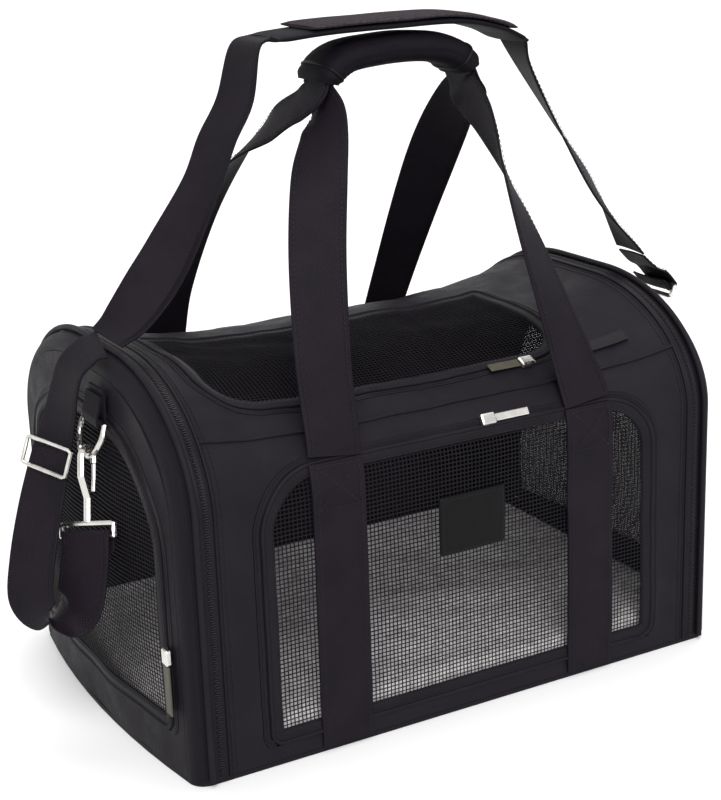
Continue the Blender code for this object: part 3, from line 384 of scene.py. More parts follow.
def cord_on(name, path, surface, radius, lift, material, body, slot, closed=False, count=10):
    """A round cord, such as piping, along a path on a surface."""
    u, v = path.T
    line = surface(u, v, lift)
    normal = surface(u, v, lift + 0.001) - line
    normal /= np.linalg.norm(normal, axis=1, keepdims=True)
    if closed:
        tangent = np.roll(line, -1, axis=0) - np.roll(line, 1, axis=0)
    else:
        tangent = np.gradient(line, axis=0)
    tangent /= np.linalg.norm(tangent, axis=1, keepdims=True)
    side = np.cross(tangent, normal)
    return sweep(name, line, side, normal, circle(radius, count), material, body, slot, closed)


def curve_through(points, count):
    """A smooth curve through the given rows, read at even steps (Catmull-Rom)."""
    points = np.array(points, float)
    ends = np.vstack([2 * points[0] - points[1], points, 2 * points[-1] - points[-2]])
    places = np.linspace(0, len(points) - 1, count)
    first = np.minimum(places.astype(int), len(points) - 2)
    t = (places - first)[:, None]
    a, b, c, d = (ends[first + n] for n in range(4))
    return 0.5 * (2 * b + (c - a) * t + (2 * a - 5 * b + 4 * c - d) * t**2 + (3 * b - a - 3 * c + d) * t**3)


def frames_along(path, across):
    """Unit side and face directions at each point of a ribbon: face is side x travel."""
    tangent = np.gradient(path, axis=0)
    tangent /= np.linalg.norm(tangent, axis=1, keepdims=True)
    side = across - (across * tangent).sum(1, keepdims=True) * tangent
    side /= np.linalg.norm(side, axis=1, keepdims=True)
    return side, np.cross(side, tangent)


# ----- materials


class Paint:
    """Builds one node material: a shader, a pattern on the UV map or on Object coordinates, and a bump."""

    def __init__(self, name, colour, roughness, metallic=0.0, specular=0.5):
        self.material = bpy.data.materials.new(name)
        self.material.use_nodes = True
        self.nodes = self.material.node_tree.nodes
        self.links = self.material.node_tree.links
        self.shader = self.nodes["Principled BSDF"]
        self.colour = (*colour, 1.0)
        self.shader.inputs["Base Color"].default_value = self.colour
        self.shader.inputs["Roughness"].default_value = roughness
        self.shader.inputs["Metallic"].default_value = metallic
        self.shader.inputs["Specular IOR Level"].default_value = specular
        self.bumped = None

    def node(self, kind, **values):
        made = self.nodes.new(kind)
        for key, value in values.items():
            if hasattr(made, key):
                setattr(made, key, value)
            else:
                made.inputs[key].default_value = value
        return made

    def place(self, uv):
        texture = self.node("ShaderNodeTexCoord")
        return texture.outputs["UV" if uv else "Object"]

    def noise(self, size, uv=False, detail=3.0):
        """Noise with features of about the given size."""
        made = self.node("ShaderNodeTexNoise", Scale=1 / size, Detail=detail)
        self.links.new(self.place(uv), made.inputs["Vector"])
        return made.outputs["Fac"]

    def weave(self, across, along):
        """The height of a plain weave on the UV map: two crossed sine waves whose signs alternate."""
        split = self.node("ShaderNodeSeparateXYZ")
        self.links.new(self.place(True), split.inputs[0])
        sines = []
        for output, pitch in (("X", across), ("Y", along)):
            scaled = self.math("MULTIPLY", split.outputs[output], 2 * math.pi / pitch)
            sines.append(self.math("SINE", scaled))
        return self.math("MULTIPLY", *sines)

    def math(self, operation, *values):
        made = self.node("ShaderNodeMath", operation=operation)
        for number, value in enumerate(values):
            if isinstance(value, (int, float)):
                made.inputs[number].default_value = value
            else:
                self.links.new(value, made.inputs[number])
        return made.outputs[0]

    def bump(self, height, distance, strength=1.0):
        """Adds one layer of bump, on top of those before it."""
        made = self.node("ShaderNodeBump", Strength=strength, Distance=distance)
        self.links.new(height, made.inputs["Height"])
        if self.bumped:
            self.links.new(self.bumped, made.inputs["Normal"])
        self.bumped = made.outputs["Normal"]
        self.links.new(self.bumped, self.shader.inputs["Normal"])
        return self

    def ramp(self, height, low=0.0, high=1.0):
        """A pattern's middle range spread from low to high."""
        made = self.node("ShaderNodeMapRange")
        for label, value in (("From Min", 0.3), ("From Max", 0.7), ("To Min", low), ("To Max", high)):
            made.inputs[label].default_value = value
        self.links.new(height, made.inputs["Value"])
        return made.outputs["Result"]

    def vary(self, height, low, high):
        """Colour that runs from low to high shares of the base colour over a pattern."""
        mix = self.node("ShaderNodeMix", data_type="RGBA")
        for number, share in ((6, low), (7, high)):
            mix.inputs[number].default_value = (*(c * share for c in self.colour[:3]), 1)
        self.links.new(self.ramp(height), mix.inputs["Factor"])
        self.links.new(mix.outputs[2], self.shader.inputs["Base Color"])
        return self

    def gloss(self, height, low, high):
        """Roughness between low and high over a pattern."""
        self.links.new(self.ramp(height, low, high), self.shader.inputs["Roughness"])
        return self


def make_materials():
    made = {}

    cloth = Paint("oxford_cloth", (0.0075, 0.0058, 0.0090), 0.50, specular=0.10)
    cloth.vary(cloth.noise(0.045, True), 0.82, 1.2)
    cloth.gloss(cloth.noise(0.02, True), 0.46, 0.60)
    cloth.bump(cloth.noise(0.016, True, 2.0), 0.0012, 0.6).bump(cloth.weave(0.0011, 0.0009), 0.00012, 0.6)
    made["cloth"] = cloth.material

    binding = Paint("binding_tape", (0.0055, 0.0045, 0.0065), 0.48, specular=0.11)
    binding.vary(binding.noise(0.03), 0.8, 1.25)
    binding.bump(binding.noise(0.0012, False, 2.0), 0.0001, 0.5)
    made["binding"] = binding.material

    webbing = Paint("ribbed_webbing", (0.0080, 0.0060, 0.0092), 0.56, specular=0.07)
    webbing.vary(webbing.noise(0.03, True), 0.85, 1.2)
    webbing.bump(webbing.weave(0.0032, 0.0016), 0.00022, 0.7).bump(webbing.noise(0.0009, True), 0.00006, 0.5)
    made["webbing"] = webbing.material

    thread = Paint("net_thread", (0.0060, 0.0050, 0.0070), 0.50, specular=0.10)
    thread.vary(thread.noise(0.02), 0.8, 1.25)
    thread.bump(thread.noise(0.0006), 0.00005, 0.5)
    made["net"] = thread.material

    coil = Paint("zip_coil", (0.0080, 0.0070, 0.0090), 0.36, specular=0.2)
    coil.vary(coil.noise(0.01), 0.8, 1.3).bump(coil.noise(0.0005), 0.00004, 0.4)
    made["coil"] = coil.material

    stitch = Paint("stitch_thread", (0.0110, 0.0090, 0.0125), 0.50, specular=0.12)
    stitch.vary(stitch.noise(0.004), 0.8, 1.3).bump(stitch.noise(0.0003), 0.00004, 0.5)
    made["stitch"] = stitch.material

    padding = Paint("strap_padding", (0.0400, 0.0330, 0.0390), 0.85, specular=0.06)
    padding.vary(padding.noise(0.004, True, 4.0), 0.62, 1.35)
    padding.bump(padding.weave(0.0042, 0.0042), 0.0005, 0.9).bump(padding.noise(0.0012, True), 0.0002, 0.7)
    made["padding"] = padding.material

    soft = Paint("wrap_padding", (0.0050, 0.0040, 0.0060), 0.65, specular=0.07)
    soft.vary(soft.noise(0.01, True), 0.8, 1.25)
    soft.bump(soft.noise(0.006, True, 2.0), 0.0008, 0.6).bump(soft.weave(0.0010, 0.0010), 0.0001, 0.6)
    made["soft"] = soft.material

    fleece = Paint("fleece", (0.80, 0.77, 0.77), 0.95, specular=0.05)
    fleece.vary(fleece.noise(0.006), 0.72, 1.15)
    fleece.bump(fleece.noise(0.004, False, 5.0), 0.002, 0.9)
    made["fleece"] = fleece.material

    board = Paint("board_cover", (0.020, 0.018, 0.020), 0.7, specular=0.3)
    board.vary(board.noise(0.02), 0.8, 1.2).bump(board.noise(0.001), 0.0001, 0.5)
    made["board"] = board.material

    nickel = Paint("nickel", (0.66, 0.64, 0.61), 0.22, metallic=1.0)
    nickel.vary(nickel.noise(0.01), 0.85, 1.08).gloss(nickel.noise(0.004), 0.16, 0.32)
    nickel.bump(nickel.noise(0.002), 0.00005, 0.4)
    made["nickel"] = nickel.material

    rubber = Paint("pull_rubber", (0.050, 0.044, 0.030), 0.5, specular=0.4)
    rubber.vary(rubber.noise(0.004), 0.8, 1.2).bump(rubber.noise(0.0008), 0.00006, 0.5)
    made["rubber"] = rubber.material

    patch = Paint("label_cloth", (0.0040, 0.0040, 0.0045), 0.45, specular=0.08)
    patch.vary(patch.noise(0.01, True), 0.9, 1.15).bump(patch.weave(0.0009, 0.0009), 0.00006, 0.5)
    made["label"] = patch.material
    return made


M = make_materials()

# Kinds of stitch row: the pitch, then each stitch's length, width and height
CLOTH_STITCH = (0.0034, (0.0024, 0.0006, 0.0004))
LABEL_STITCH = (0.0028, (0.0020, 0.0005, 0.0003))
WEBBING_STITCH = (0.0036, (0.0026, 0.0006, 0.0004))
BOX_STITCH = (0.0034, (0.0025, 0.0006, 0.0004))


def stitches(name, path, kind, surface, body, slot, proud, closed=False):
    """A row of stitches of one kind along a path on a surface."""
    return blocks(name, path, *kind, surface, M["stitch"], body, slot, proud, closed=closed)


# ----- shell cloth


def wall_box(low, high):
    """The outline of a wall panel between the two end zips, from one distance round to another."""
    return ((-WALL_END, low), (WALL_END, high), (0.002, 0.002), (0.002, 0.002))


def hinge_hole(box, hinge):
    """A door's opening: wider than the door by its zip, but close along the hinge edge."""
    loop = outline(box, ZIP_SLOT)
    if hinge == "low":
        loop[:, 1] = np.maximum(loop[:, 1], box[0][1] - GAP)
    else:
        loop[:, 1] = np.minimum(loop[:, 1], box[1][1] + GAP)
    return loop


def make_walls():
    """Front, roof and back cloth."""
    seam = (DOOR[1][1] + LID[0][1]) / 2
    front = outline(wall_box(WALL_START, seam - GAP / 2))
    roof = outline(wall_box(seam + GAP / 2, AROUND - seam - GAP / 2))
    for name, outer, hole in (
        ("front_cloth", front, hinge_hole(DOOR, "low")),
        ("roof_cloth", roof, hinge_hole(LID, "high")),
    ):
        piece = sheet(name, *between(outer, hole, 26), wrap, M["cloth"], "shell", "cloth", closed=True)
        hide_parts(name.replace("cloth", "panel"))
    rounds = np.linspace(AROUND - seam + GAP / 2, AROUND - WALL_START, 70)
    x, s = np.meshgrid(np.linspace(-WALL_END, WALL_END, 120), rounds)
    piece = sheet("back_cloth", x, s, wrap, M["cloth"], "shell", "cloth")
    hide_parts("back_panel")
    for side, at in (("front", seam), ("back", AROUND - seam)):
        line = np.column_stack([np.linspace(-WALL_END, WALL_END, 120), np.full(120, at)])
        cord_on(f"roof_seam_{side}", line, wrap, 0.0011, 0.0002, M["binding"], "shell", "cloth")


# A zip starts and stops part of the way round a corner, counted in that corner's points
ZIP_FROM, ZIP_TO = 5, 9


def three_sides(low, high):
    """The part of a loop that a zip runs on: from within one corner, round three sides, to within another."""
    return corner_start(low) + ZIP_FROM, corner_start(high) + ZIP_TO


def make_zip(name, box, surface, first, last):
    """A door's zip: two tapes that meet under a row of coil teeth, on three sides of the door."""
    count = len(outline(box))
    picked = np.arange(first, last) % count
    grows = GAP + ZIP_WIDTH * np.array([0, 0.30, 0.5, 0.70, 1])
    lifts = np.array([0.0003, 0.0006, 0.0002, 0.0006, 0.0003])
    loops = np.stack([outline(box, grow)[picked] for grow in grows[::-1]])
    u, v = loops[..., 0], loops[..., 1]
    lift = np.broadcast_to(lifts[:, None], u.shape)
    tape = sheet(f"{name}_tape", u, v, surface, M["binding"], "shell", "zip_coil", lift, 0.0012)
    middle = outline(box, GAP + ZIP_WIDTH / 2)[picked]
    tooth = (0.0008, 0.0019, 0.0008)
    blocks(f"{name}_teeth", middle, 0.0013, tooth, surface, M["coil"], "shell", "zip_coil", 0.0001, 0.00025)
    return tape


def make_zips():
    tape = make_zip("front_zip", DOOR, wrap, *three_sides(0, 3))
    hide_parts("front_door_zip")
    count = len(outline(LID))
    tape = make_zip("lid_zip_coil", LID, wrap, corner_start(2) + ZIP_FROM, count + corner_start(1) + ZIP_TO)
    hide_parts("lid_zip")
    for side, sign in (("left", -1), ("right", 1)):
        tape = make_zip(f"{side}_end_zip", END_DOOR, end_wall(sign), *three_sides(0, 3))
        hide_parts(f"{side}_door_zip")


NET_THICK, NET_INSET, NET_CROSSING = 0.0006, 0.0006, 0.00018


def net(name, box, grow, surface, body, pitch, wide):
    """Open mesh: crossed threads, each a strand with a diamond section whose ends stop at the outline.

    A strand's length at distance a from the middle follows the elliptic corners of the box."""
    low, high = np.array(box[0]) - grow, np.array(box[1]) + grow
    bottom, top = np.array(box[2]) + grow, np.array(box[3]) + grow
    points, faces, start = [], [], 0
    for axis in (0, 1):
        at = np.arange(low[axis] + pitch / 2, high[axis], pitch)
        other = 1 - axis
        cuts = []
        for corner, begin, sense in ((bottom, low, -1), (top, high, 1)):
            if axis == 0:
                reach = np.maximum(at - (high[0] - corner[0]), low[0] + corner[0] - at) / corner[0]
                cuts.append(corner[1] * (1 - np.sqrt(1 - np.clip(reach, 0, 1) ** 2)))
            else:
                reach = (sense * (at - begin[1]) + corner[1]) / corner[1]
                cuts.append(corner[0] * (1 - np.sqrt(1 - np.clip(reach, 0, 1) ** 2)))
        if axis == 1:
            cuts = [np.maximum(*cuts)] * 2
        ends = [low[other] + cuts[0], high[other] - cuts[1]]
        length = int((high[other] - low[other]) / 0.0045)
        share = np.linspace(0, 1, length)
        along = ends[0][:, None] + (ends[1] - ends[0])[:, None] * share
        fixed = np.broadcast_to(at[:, None], along.shape)
        offset = np.array([(-1, 0), (0, -1), (1, 0), (0, 1)]) * [wide / 2, NET_THICK / 2]
        across = fixed[..., None] + offset[:, 0]
        run = np.broadcast_to(along[..., None], across.shape)
        lift = -NET_INSET + (NET_CROSSING if axis else -NET_CROSSING) + offset[:, 1]
        u, v = (across, run) if axis == 0 else (run, across)
        strand = surface(u, v, np.broadcast_to(lift, u.shape))
        block = grid_faces(length, 4, True)
        if axis == 0:
            block = block[:, ::-1]
        count = length * 4
        many = (block[None] + count * np.arange(len(at))[:, None, None]).reshape(-1, 4)
        cap = np.array([(0, 1, 2, 3), (count - 1, count - 2, count - 3, count - 4)])
        if axis == 1:
            cap = cap[:, ::-1]
        caps = (cap[None] + count * np.arange(len(at))[:, None, None]).reshape(-1, 4)
        faces += [many + start, caps + start]
        points.append(strand.reshape(-1, 3))
        start += count * len(at)
    return make_piece(name, np.vstack(points), np.vstack(faces), M["net"], body, "mesh")


OPEN_NET, CLOSE_NET = (0.0029, 0.00085), (0.0016, 0.0013)


def make_door(stem, box, surface, pitch, wide):
    """One mesh door: the open mesh, a padded binding round it, a piping cord at its edge and two stitch rows."""
    width = np.array([0.0, 0.12, 0.35, 0.65, 0.9, 1.0]) * FRAME_WIDTH
    lift = np.array([-0.0002, 0.0007, 0.0010, 0.0009, 0.0006, -0.0003])
    loops = np.stack([outline(box, -step) for step in width])
    lifts = np.broadcast_to(lift[:, None], loops.shape[:2])
    u, v = loops[..., 0], loops[..., 1]
    rim = sheet(f"{stem}_binding", u, v, surface, M["binding"], stem, "cloth", lifts, 0.0018, True)
    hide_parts(f"{stem}_frame")
    mesh = net(f"{stem}_net", box, -FRAME_WIDTH + 0.0015, surface, stem, pitch, wide)
    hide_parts(f"{stem}_mesh")
    cord_on(f"{stem}_piping", outline(box, -0.0016), surface, 0.0015, 0.0006, M["cloth"], stem, "cloth", True)
    for number, (inset, proud) in enumerate(((0.0042, 0.0008), (0.0088, 0.0005))):
        path = outline(box, -inset)
        stitches(f"{stem}_stitches_{number}", path, CLOTH_STITCH, surface, stem, "cloth", proud, True)


def make_doors():
    make_door("front_door", DOOR, wrap, *OPEN_NET)
    make_door("lid", LID, wrap, *OPEN_NET)
    make_door("left_door", END_DOOR, end_door_wall(-1), *OPEN_NET)
    make_door("right_door", END_DOOR, end_door_wall(1), *CLOSE_NET)


def make_label():
    """The blank patch on the window, with its stitched border."""
    box = ((-0.0235, 0.117), (0.0275, 0.158), (0.002, 0.002), (0.002, 0.002))
    loop = outline(box, 0, 5, 6)
    middle = (loop.min(0) + loop.max(0)) / 2
    share = np.array([1, 0.97, 0.9, 0.5, 0.001])[:, None]
    u, v = (middle[n] + (loop[None, :, n] - middle[n]) * share for n in (0, 1))
    lift = np.broadcast_to(np.array([0.0006, 0.0012, 0.0013, 0.0013, 0.0013])[:, None], u.shape)
    piece = sheet("label", u, v, wrap, M["label"], "front_door", "cloth", lift, 0.0009, True)
    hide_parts("label_patch")
    path = outline(box, -0.0022, 5, 6)
    stitches("label_stitches", path, LABEL_STITCH, wrap, "front_door", "cloth", 0.0013, True)


def end_loop():
    """An end panel's edge in (y, z): just inside the band, then straight along the base.

    It is turned so that its points pair up with those of the door's outline."""
    total = len(outline(END_DOOR))
    s = np.linspace(AROUND - WALL_START, WALL_START, corner_start(3))
    step = 0.002
    line = wrap_flat(np.full_like(s, BAND_START), s)
    ahead = wrap_flat(np.full_like(s, BAND_START), s + step) - wrap_flat(np.full_like(s, BAND_START), s - step)
    inward = np.column_stack([ahead[:, 2], -ahead[:, 1]])
    inward /= np.linalg.norm(inward, axis=1, keepdims=True)
    over = line[:, 1:] + inward * (BAND_RADIUS + GAP)
    share = np.linspace(0, 1, total - len(s) + 2)[1:-1, None]
    base = over[-1] * (1 - share) + over[0] * share
    return np.roll(np.vstack([over, base]), 7, axis=0)


def make_ends():
    """Each end's cloth, rounded band, piping over the hoop, and the collapse zip beside it."""
    hole = outline(END_DOOR, ZIP_SLOT)
    hole[:, 1] = np.maximum(hole[:, 1], END_DOOR[0][1] - GAP)
    s = np.linspace(WALL_START, AROUND - WALL_START, 260)
    for side, sign in (("left", -1), ("right", 1)):
        face = end_wall(sign)
        u, v = between(end_loop(), hole, 16)
        piece = sheet(f"{side}_end_cloth", u, v, face, M["cloth"], "shell", "cloth", closed=True)
        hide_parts(f"{side}_end_panel")

        turn, around = np.meshgrid(np.radians(np.linspace(0, 90, 12)), s)
        puff = 0.0006 * np.sin(2 * turn)
        piece = sheet(f"{side}_band", turn, around, band_wall(sign), M["cloth"], "shell", "cloth", puff, 0.0016)
        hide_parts(f"{side}_end_band")

        wall = turned(sign)
        line = np.column_stack([np.full_like(s, BAND_START + 0.0010), s])
        piece = cord_on(f"{side}_hoop_piping", line, wall, 0.0022, 0.0024, M["cloth"], "shell", "cloth", count=14)
        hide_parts(f"{side}_hoop")
        line = np.column_stack([np.full_like(s, WALL_END + 0.0002), s])
        cord_on(f"{side}_body_seam", line, wall, 0.0010, 0.0004, M["binding"], "shell", "cloth")

        edges = WALL_END + GAP + COLLAPSE_ZIP * np.array([0, 0.2, 0.42, 0.5, 0.58, 0.8, 1])
        lifts = np.array([0.0001, 0.0008, 0.0010, 0.0004, 0.0010, 0.0008, 0.0001])
        x, around = np.meshgrid(edges, s)
        piece = sheet(f"{side}_collapse_tape", x, around, wall, M["binding"], "shell", "zip_coil",
                      np.broadcast_to(lifts, x.shape), 0.0014)
        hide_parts(f"{side}_collapse_zip")
        line = np.column_stack([np.full_like(s, edges[3]), s])
        blocks(f"{side}_collapse_teeth", line, 0.0017, (0.0011, 0.0042, 0.0012), wall, M["coil"], "shell",
               "zip_coil", 0.0003, 0.0004)
        for number, place in enumerate((-0.0030, 0.0)):
            path = np.column_stack([np.full_like(s, WALL_END + place - 0.0022), s])
            stitches(f"{side}_seam_stitches_{number}", path, CLOTH_STITCH, wall, "shell", "cloth", 0.0001)


# ----- bedding


def make_base():
    """The fleece pad that lies on the base board."""
    box = ((-0.203, -0.136), (0.203, 0.136), (0.012, 0.012), (0.012, 0.012))
    loop = outline(box, 0, 8, 30)
    rows = np.radians(np.linspace(-90, 90, 11))
    half = (PAD_TOP - PAD_BOTTOM) / 2
    inset = half * (1 - np.cos(rows))
    height = PAD_BOTTOM + half + half * np.sin(rows)
    rings, heights = [], []
    for shrink in (0.15, 0.5, 0.8):
        rings.append(loop * [shrink, shrink] * 0.96)
        heights.append(PAD_BOTTOM)
    for step, level in zip(inset, height):
        rings.append(outline(box, -step, 8, 30))
        heights.append(level)
    for shrink in np.linspace(0.96, 0.04, 26):
        rings.append(outline(box, -half, 8, 30) * shrink)
        heights.append(PAD_TOP)
    flat = np.stack(rings)
    level = np.broadcast_to(np.array(heights)[:, None], flat.shape[:2]).copy()
    top = np.arange(len(rings))[:, None] >= 12
    level -= np.where(top, 0.0012 + 0.0010 * waves(flat[..., 0], flat[..., 1], 0.05, 5), 0)
    points = np.dstack([flat, level])
    count = flat.shape[1]
    faces = grid_faces(len(rings), count, True)
    caps = [list(range(count))[::-1], [(len(rings) - 1) * count + n for n in range(count)]]
    piece = make_piece("bedding", points, faces, M["fleece"], "shell", "fleece", caps=caps)
    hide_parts("fleece_pad")
    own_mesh(piece)


# ----- webbing


def webbing_profile(width, thick, count=10):
    """The section of woven webbing: flat faces with rounded edges that are a little fuller."""
    half, edge = width / 2, thick / 2
    turn = np.linspace(-math.pi / 2, math.pi / 2, 6)
    right = np.column_stack([half - edge + edge * np.cos(turn), edge * np.sin(turn)])
    left = -right
    top = np.linspace(1, -1, count)[1:-1, None] * [half - edge, 0] + [0, edge * 0.82]
    bottom = np.linspace(-1, 1, count)[1:-1, None] * [half - edge, 0] - [0, edge * 0.82]
    return np.vstack([right, top, left, bottom])


def ribbon(name, route, count, body, shift=0.0):
    """Webbing along a route of (point, side direction, width share) rows, with a stitch row near each edge."""
    rows = np.array([[*point, *side, share] for point, side, share in route])
    read = curve_through(rows, count)
    path = read[:, :3]
    side, face = frames_along(path, read[:, 3:6])
    path = path + face * shift
    profile = webbing_profile(WEBBING, WEBBING_THICK)
    local = profile[None] * np.stack([read[:, 6], np.ones(count)], -1)[:, None]
    # The middle of the webbing cups a little towards its inner face
    cup = 0.0007 * (1 - (2 * local[..., 0] / WEBBING) ** 2)
    local = np.stack([local[..., 0], local[..., 1] + cup - 0.0003], -1)
    piece = sweep(name, path, side, face, local, M["webbing"], body, "webbing")
    step = np.concatenate([[0], np.cumsum(np.linalg.norm(np.diff(path, axis=0), axis=1))])

    def surface(u, v, proud=0.0):
        u, v, proud = np.broadcast_arrays(*(np.asarray(value, float) for value in (u, v, proud)))
        middle, over, out = (
            np.stack([np.interp(v, step, part[:, n]) for n in range(3)], -1) for part in (path, side, face)
        )
        share = np.interp(v, step, read[:, 6])
        return middle + over * (u * share)[..., None] + out * proud[..., None]

    proud = WEBBING_THICK / 2 - 0.0001 + 0.0004
    for number, place in enumerate((-STITCH_ROW, STITCH_ROW)):
        line = np.column_stack([np.full(count, place), np.linspace(0.001, step[-1] - 0.001, count)])
        stitches(f"{name}_stitches_{number}", line, WEBBING_STITCH, surface, body, "webbing", proud)
    return piece


def make_sewn_straps():
    """The sewn runs of webbing on the front and back walls, each with edge stitches and a crossed box."""
    half = WEBBING / 2
    for wall, back in (("front", False), ("rear", True)):
        lift = (ZIP_PROUD + GAP if not back else GAP) + WEBBING_THICK
        for side, sign in (("left", -1), ("right", 1)):
            across = sign * STRAP_SPACING / 2 + half * np.linspace(-1, 1, 14)
            rounds = np.linspace(WALL_START + 0.001, SEAM_HEIGHT, 90)
            rounds = AROUND - rounds[::-1] if back else rounds
            x, s = np.meshgrid(across, rounds)
            edge = 1 - 0.45 * smooth((np.abs(x - sign * STRAP_SPACING / 2) / half - 0.88) / 0.12)
            proud = lift - WEBBING_THICK * (1 - edge) + 0.0004
            piece = sheet(f"{wall}_run_{side}", x, s, wrap, M["webbing"], "shell", "webbing", proud, WEBBING_THICK)
            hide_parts(f"{wall}_strap_{side}")
            middle = sign * STRAP_SPACING / 2
            for number, place in enumerate((-STITCH_ROW, STITCH_ROW)):
                line = np.column_stack([np.full(90, middle + place), rounds])
                row = f"{wall}_run_{side}_stitches_{number}"
                stitches(row, line, WEBBING_STITCH, wrap, "shell", "webbing", lift + 0.0003)
            top = AROUND - SEAM_HEIGHT if back else SEAM_HEIGHT
            way = 1 if back else -1
            box = np.array([(-1, 0.1), (1, 0.1), (1, 1), (-1, 1), (-1, 0.1), (1, 1), (1, 0.1), (-1, 1)])
            corners = box * [BOX_HALF_WIDTH, way * BOX_TALL] + [middle, top]
            for number in range(len(corners) - 1):
                line = np.linspace(corners[number], corners[number + 1], 20)
                row = f"{wall}_box_{side}_{number}"
                stitches(row, line, BOX_STITCH, wrap, "shell", "webbing", lift + 0.0004)


HANDLE_TOP = [
    (-0.0335, -0.012, 0.4130),
    (-0.0290, -0.012, 0.4250),
    (-0.0150, -0.012, 0.4340),
    (0.0100, -0.012, 0.4370),
    (0.0350, -0.012, 0.4375),
    (0.0580, -0.012, 0.4350),
    (0.0750, -0.012, 0.4270),
    (0.0830, -0.012, 0.4130),
]
LAYER = 0.0022


def make_handles():
    """Both carry handles and the padded wrap round them."""
    half = STRAP_SPACING / 2
    top = [(point, (0, -1, 0), 0.92) for point in HANDLE_TOP]
    start = SEAM_HEIGHT + 0.0030
    front_y = float(wrap(0, SEAM_HEIGHT, ZIP_PROUD + GAP + WEBBING_THICK / 2)[1]) - LAYER + 0.0007
    back_y = -float(wrap(0, SEAM_HEIGHT, GAP + WEBBING_THICK / 2)[1]) - LAYER + 0.0020
    front = [
        ((-half, front_y, start), (1, 0, 0), 1.0),
        ((-0.0968, -0.1368, 0.2150), (1, 0, 0), 1.0),
        ((-0.0905, -0.1160, 0.2560), (1, -0.10, 0), 1.0),
        ((-0.0760, -0.0850, 0.3150), (1, -0.35, 0), 1.0),
        ((-0.0585, -0.0570, 0.3620), (0.85, -0.6, 0), 1.0),
        ((-0.0440, -0.0370, 0.3890), (0.45, -0.9, 0), 0.95),
        ((-0.0355, -0.0200, 0.4030), (0, -1, 0), 0.92),
        *top,
        ((0.0834, -0.0190, 0.4030), (0, -1, 0), 0.92),
        ((0.0845, -0.0390, 0.3870), (-0.1, -1, 0), 0.95),
        ((0.0875, -0.0630, 0.3500), (-0.5, -0.85, 0), 1.0),
        ((0.0905, -0.0900, 0.3050), (-0.8, -0.6, 0), 1.0),
        ((0.0940, -0.1180, 0.2540), (-0.95, -0.3, 0), 1.0),
        ((0.0972, -0.1368, 0.2150), (-1, 0, 0), 1.0),
        ((half, front_y, start), (-1, 0, 0), 1.0),
    ]
    rear = [
        ((-half, back_y, start), (-1, 0, 0), 1.0),
        ((-0.0972, 0.1355, 0.2150), (-1, 0, 0), 1.0),
        ((-0.0945, 0.1180, 0.2560), (-1, -0.15, 0), 1.0),
        ((-0.0830, 0.0850, 0.3150), (-0.95, -0.35, 0), 1.0),
        ((-0.0650, 0.0500, 0.3620), (-0.7, -0.7, 0), 1.0),
        ((-0.0510, 0.0170, 0.3890), (-0.1, -1, 0), 0.95),
        ((-0.0400, -0.0030, 0.4030), (0, -1, 0), 0.92),
        *top,
        ((0.0905, -0.0040, 0.4030), (0, -1, 0), 0.92),
        ((0.0930, 0.0170, 0.3890), (0.2, -1, 0), 0.95),
        ((0.0975, 0.0500, 0.3550), (0.6, -0.8, 0), 1.0),
        ((0.1000, 0.0820, 0.3100), (0.9, -0.45, 0), 1.0),
        ((0.1010, 0.1150, 0.2560), (1, -0.15, 0), 1.0),
        ((0.0992, 0.1355, 0.2150), (1, 0, 0), 1.0),
        ((half, back_y, start), (1, 0, 0), 1.0),
    ]
    piece = ribbon("front_handle", front, 260, "front_handle", -LAYER)
    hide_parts("front_handle_webbing")
    piece = ribbon("rear_handle", rear, 260, "rear_handle", LAYER)
    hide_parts("rear_handle_webbing")

    path = curve_through(HANDLE_TOP, 90)[6:-6]
    count = len(path)
    side, face = frames_along(path, np.tile([0.0, -1.0, 0.0], (count, 1)))
    along = np.linspace(0, 1, count)
    profile = oval(0.046, 0.021, 48, 2.7)
    turn = np.arctan2(profile[:, 1], profile[:, 0])
    # Full in the middle, pinched where the end seams pull it in, with small creases round its bends
    end = np.minimum(along, 1 - along)
    full = 0.90 + 0.10 * smooth(end / 0.05) - 0.035 * np.exp(-(((end - 0.085) / 0.018) ** 2))
    bend = np.exp(-(((along - 0.16) / 0.07) ** 2)) + np.exp(-(((along - 0.84) / 0.07) ** 2))
    crease = 0.022 * bend[:, None] * np.sin(along[:, None] * 150) * (0.5 - 0.5 * np.sin(turn))
    seam = -0.05 * np.exp(-(((turn + math.pi / 2) / 0.07) ** 2))
    uneven = 0.012 * waves(along[:, None] * 0.13, turn[None] * 0.02, 0.03, 6)
    local = profile[None] * (full[:, None] + crease + seam[None] + uneven)[..., None]
    piece = sweep("handle_pad", path, side, face, local, M["soft"], "front_handle", "cloth")
    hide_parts("handle_wrap")
    for number, place in enumerate((0.10, 0.90)):
        at = int(place * (count - 1))
        ringed = path[at] + side[at] * local[at, :, :1] * 1.012 + face[at] * local[at, :, 1:] * 1.012
        tangent = np.roll(ringed, -1, axis=0) - np.roll(ringed, 1, axis=0)
        tangent /= np.linalg.norm(tangent, axis=1, keepdims=True)
        outward = ringed - path[at]
        outward /= np.linalg.norm(outward, axis=1, keepdims=True)
        sweep(f"handle_pad_binding_{number}", ringed, np.cross(tangent, outward), outward, circle(0.0011, 8),
              M["binding"], "front_handle", "cloth", closed=True)
